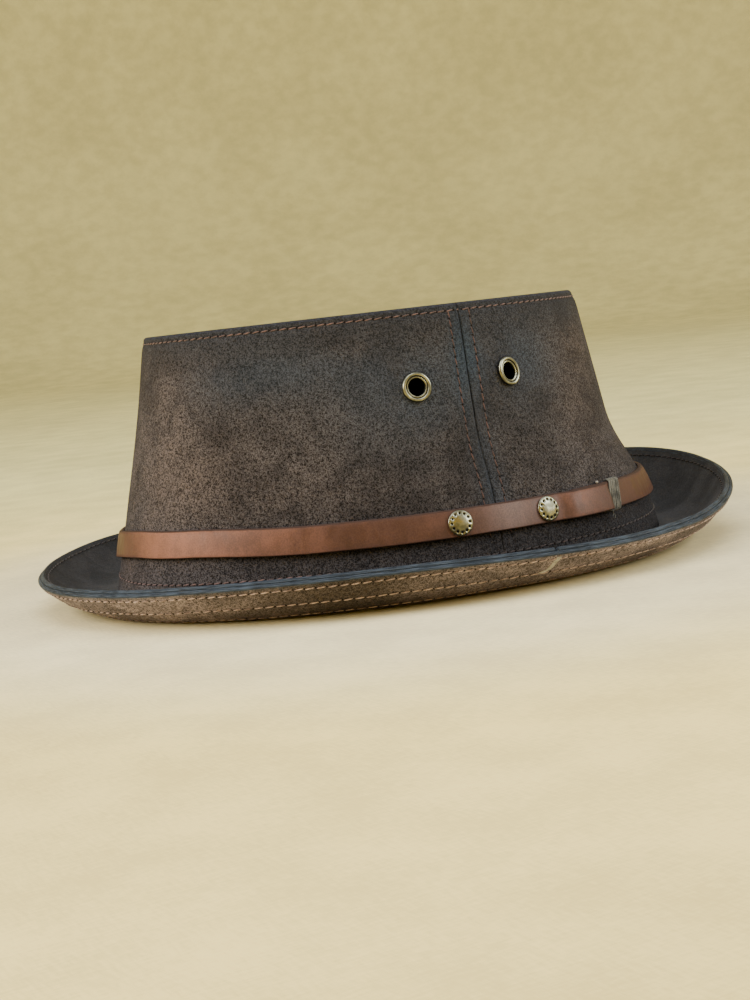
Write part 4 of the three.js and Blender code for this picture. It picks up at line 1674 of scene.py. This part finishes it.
@dataclass(frozen=True)
class Stitching:
    """Every row of stitches on the hat."""

    crown_pitch: float = 3.25
    brim_pitch: float = 3.7
    brim_rows: tuple[float, ...] = (1.7, 8.2, 16.6)
    seam_thread_path: tuple[tuple[float, float], ...] = (
        (1.25, 1.0), (1.05, 2.6), (0.78, 4.6), (0.55, 6.4), (0.2, 7.0), (-0.7, 8.0))
    seam_thread_shifts: tuple[float, ...] = (-0.3, -0.05, 0.2, 0.42)
    seam_thread_depth: float = -0.16
    seam_thread_radius: float = 0.17

    def crown_row(self, level: Callable[[float], float], start: float, end: float, thread: float,
                  proud: float = 0.0) -> StitchRow:
        """Gives a row that goes round the crown.

        Args:
            level: Gives the row's level at a bearing.
            start: Bearing of its first needle hole.
            end: Bearing of its last needle hole.
            thread: Radius of its thread.
            proud: How far it stands off the leather.

        Returns:
            The row.
        """
        return StitchRow(
            path=lambda bearing: RELIEF.surface(bearing, level(bearing), proud),
            outwards=lambda bearing: SHAPE.face_normal(bearing, level(bearing)),
            start=start, end=end, pitch=self.crown_pitch, thread=thread)

    def rim_rows(self) -> list[StitchRow]:
        """Gives the row under the rim, which crosses the side seams, and the front of the foot's row."""
        return [self.crown_row(RELIEF.rim_row, -1.15, 358.85, 0.22, 0.05), self.foot_row(-150.0, -12.0)]

    def foot_row(self, start: float, end: float) -> StitchRow:
        """Gives a stretch of the row round the foot of the crown."""
        return self.crown_row(RELIEF.foot_row, start, end, 0.25)

    def seam_rows(self) -> list[StitchRow]:
        """Gives the rows beside the two side seams."""
        rows = []
        for seam in (0.0, 180.0):
            for side in (-1.0, 1.0):
                def bearing_at(level: float, seam: float = seam, side: float = side) -> float:
                    sine = RELIEF.seam_row / SHAPE.half_length(level)
                    return seam + side * math.degrees(math.asin(sine))

                rows.append(StitchRow(
                    path=lambda level, at=bearing_at: RELIEF.surface(at(level), level),
                    outwards=lambda level, at=bearing_at: SHAPE.face_normal(at(level), level),
                    start=16.5, end=94.6, pitch=self.crown_pitch, thread=0.2, hole_shade=0.46, samples=300))
        return rows

    def brim_side(self, depth: float, outwards: float) -> list[StitchRow]:
        """Gives the rows on one side of the brim.

        Args:
            depth: How far up through the brim's leather that side is.
            outwards: 1 for the upper side and -1 for the lower.

        Returns:
            The rows.
        """
        brim = Brim()
        rows = []
        for inset in self.brim_rows:
            def spot(bearing: float, inset: float = inset) -> Vector:
                run = SHAPE.brim_run(bearing) - inset
                return SHAPE.brim_spot(bearing, run, depth + brim.relief(bearing, run))

            def out(bearing: float, inset: float = inset) -> Vector:
                return SHAPE.brim_up(bearing, SHAPE.brim_run(bearing) - inset) * outwards

            rows.append(StitchRow(path=spot, outwards=out, start=1.4, end=361.2, pitch=self.brim_pitch,
                                  thread=0.27, hole_shade=0.42 if outwards < 0 else 0.3))
        return rows

    def tip_row(self) -> StitchRow:
        """Gives the back of the rim's row, which shows on the flange inside the rim."""
        inside = -(SHAPE.crown_leather + SHAPE.gap + SHAPE.tip_leather)
        return StitchRow(
            path=lambda bearing: SHAPE.beside(
                bearing, RELIEF.rim_row(bearing), inside - RELIEF.lean(bearing, RELIEF.rim_row(bearing))),
            outwards=lambda bearing: -SHAPE.face_normal(bearing, RELIEF.rim_row(bearing)),
            start=0.0, end=360.0, pitch=self.crown_pitch, thread=0.27)

    def build(self, maker: Maker, wardrobe: Wardrobe) -> None:
        """Builds the rows, joined into one piece for each part of the hat."""
        brim_face = 2 * SHAPE.brim_leather + SHAPE.gap
        groups = (
            ("crown_stitches", self.rim_rows(), wardrobe.crown_thread),
            ("seam_stitches", self.seam_rows(), wardrobe.seam_thread),
            ("tip_stitches", [self.tip_row()], wardrobe.crown_thread),
            ("under_stitches", self.brim_side(0.0, -1.0), wardrobe.under_thread),
            # The back of the foot's row takes the darker brim thread, as painted shade under the strap.
            ("brim_stitches", [*self.brim_side(brim_face, 1.0)[:1], self.foot_row(-12.0, 210.0)],
             wardrobe.brim_and_shaded_foot_thread),
        )
        for name, rows, material in groups:
            mesh = bmesh.new()
            for row in rows:
                row.add_to(mesh)
            maker.piece(name, mesh, [material, wardrobe.hole_shade])
        self.build_brim_seam(maker, wardrobe)

    def build_brim_seam(self, maker: Maker, wardrobe: Wardrobe) -> None:
        """Builds the pale thread that closes the seam of the brim's under layer."""
        paths = [
            [SHAPE.brim_spot(bearing + shift, SHAPE.brim_run(bearing) - inset, self.seam_thread_depth)
             for bearing, inset in self.seam_thread_path]
            for shift in self.seam_thread_shifts
        ]
        mesh = threads(paths, self.seam_thread_radius)
        maker.piece("brim_seam_thread", mesh, [wardrobe.pale_thread])


@dataclass(frozen=True)
class Studio:
    """A plain pale sweep, soft lights and the camera."""

    eye: Vector = Vector((600.709, -327.113, 103.600))
    azimuth: float = 61.4045
    elevation: float = 6.5866
    roll: float = -6.3865
    lens: float = 64.8
    first_ring: float = 0.6
    floor_radius: float = 2.3
    sweep_radius: float = 1.3
    wall_top: float = 3.0
    lit_spot: Vector = Vector((0, 0, 0.05))
    room_tint: Colour = (0.94, 0.97, 1.0)
    room_strength: float = 0.72

    def build_ground(self, wardrobe: Wardrobe) -> None:
        """Builds the floor, which curves up into a wall all round."""
        wall = self.floor_radius + self.sweep_radius
        profile = [(0.0, 0.0), (self.first_ring, 0.0), (self.floor_radius, 0.0)]
        profile += [(wall - ahead, behind) for ahead, behind in rounded(self.sweep_radius, 16)[1:]]
        mesh = turned([*profile, (wall, self.wall_top)], 96)
        for face in mesh.faces:
            face.smooth = True
        sweep = stand("studio_sweep", mesh)
        sweep.data.materials.append(wardrobe.ground)

    def add_light(self, name: str, place: Vector, size: float, power: float, tint: Colour) -> None:
        """Adds a soft square light that points at the hat.

        Args:
            name: The light's name.
            place: Where it stands, in metres.
            size: The length of its side in metres.
            power: Its power in watts.
            tint: Its colour.
        """
        data = bpy.data.lights.new(name, "AREA")
        data.shape = "SQUARE"
        data.size = size
        data.energy = power
        data.color = tint
        light = bpy.data.objects.new(name, data)
        light.location = place
        light.rotation_euler = (self.lit_spot - place).to_track_quat("-Z", "Y").to_euler()
        bpy.context.scene.collection.objects.link(light)

    def build_lights(self) -> None:
        """Adds the key light, the fill lights and the even light of the room."""
        self.add_light("left_window", Vector((-0.1, -1.6, 1.0)), 1.1, 40.0, (1.0, 0.98, 0.95))
        self.add_light("right_window", Vector((1.1, 1.2, 0.85)), 1.0, 29.0, (0.93, 0.97, 1.0))
        self.add_light("over", Vector((0.5, -0.3, 1.8)), 1.5, 20.0, (0.97, 0.98, 1.0))
        world = bpy.data.worlds.new("room")
        world.use_nodes = True
        even = world.node_tree.nodes["Background"]
        even.inputs["Color"].default_value = (*self.room_tint, 1.0)
        even.inputs["Strength"].default_value = self.room_strength
        bpy.context.scene.world = world

    def build_camera(self) -> None:
        """Adds the camera, at the angle from which the hat is seen."""
        azimuth = math.radians(self.azimuth)
        elevation = math.radians(self.elevation)
        roll = math.radians(self.roll)
        back = Vector((math.sin(azimuth) * math.cos(elevation),
                       -math.cos(azimuth) * math.cos(elevation), math.sin(elevation)))
        right = Vector((math.cos(azimuth), math.sin(azimuth), 0))
        up = back.cross(right)
        turned_right = right * math.cos(roll) + up * math.sin(roll)
        turned_up = up * math.cos(roll) - right * math.sin(roll)
        data = bpy.data.cameras.new("camera")
        data.lens = self.lens
        data.sensor_width = 36.0
        data.clip_start = 0.01
        camera = bpy.data.objects.new("camera", data)
        turn = Matrix((turned_right, turned_up, back)).transposed()
        place = (self.eye - SHAPE.middle()) * MILLIMETRE
        camera.matrix_world = Matrix.Translation(place) @ turn.to_4x4()
        bpy.context.scene.collection.objects.link(camera)
        bpy.context.scene.camera = camera

    def build(self, wardrobe: Wardrobe) -> None:
        """Builds the whole studio."""
        self.build_ground(wardrobe)
        self.build_lights()
        self.build_camera()


def main() -> None:
    """Builds the hat and its studio."""
    logging.basicConfig(level=logging.INFO, format="%(name)s: %(message)s")
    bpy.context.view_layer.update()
    wardrobe = Wardrobe()
    maker = Maker(SHAPE)
    for part in (CrownPanels(), CrownTop(), Brim(), Strap(), BrassParts(), Stitching()):
        LOG.info("building %s", type(part).__name__)
        part.build(maker, wardrobe)
    Studio().build(wardrobe)


if __name__ == "__main__":
    main()
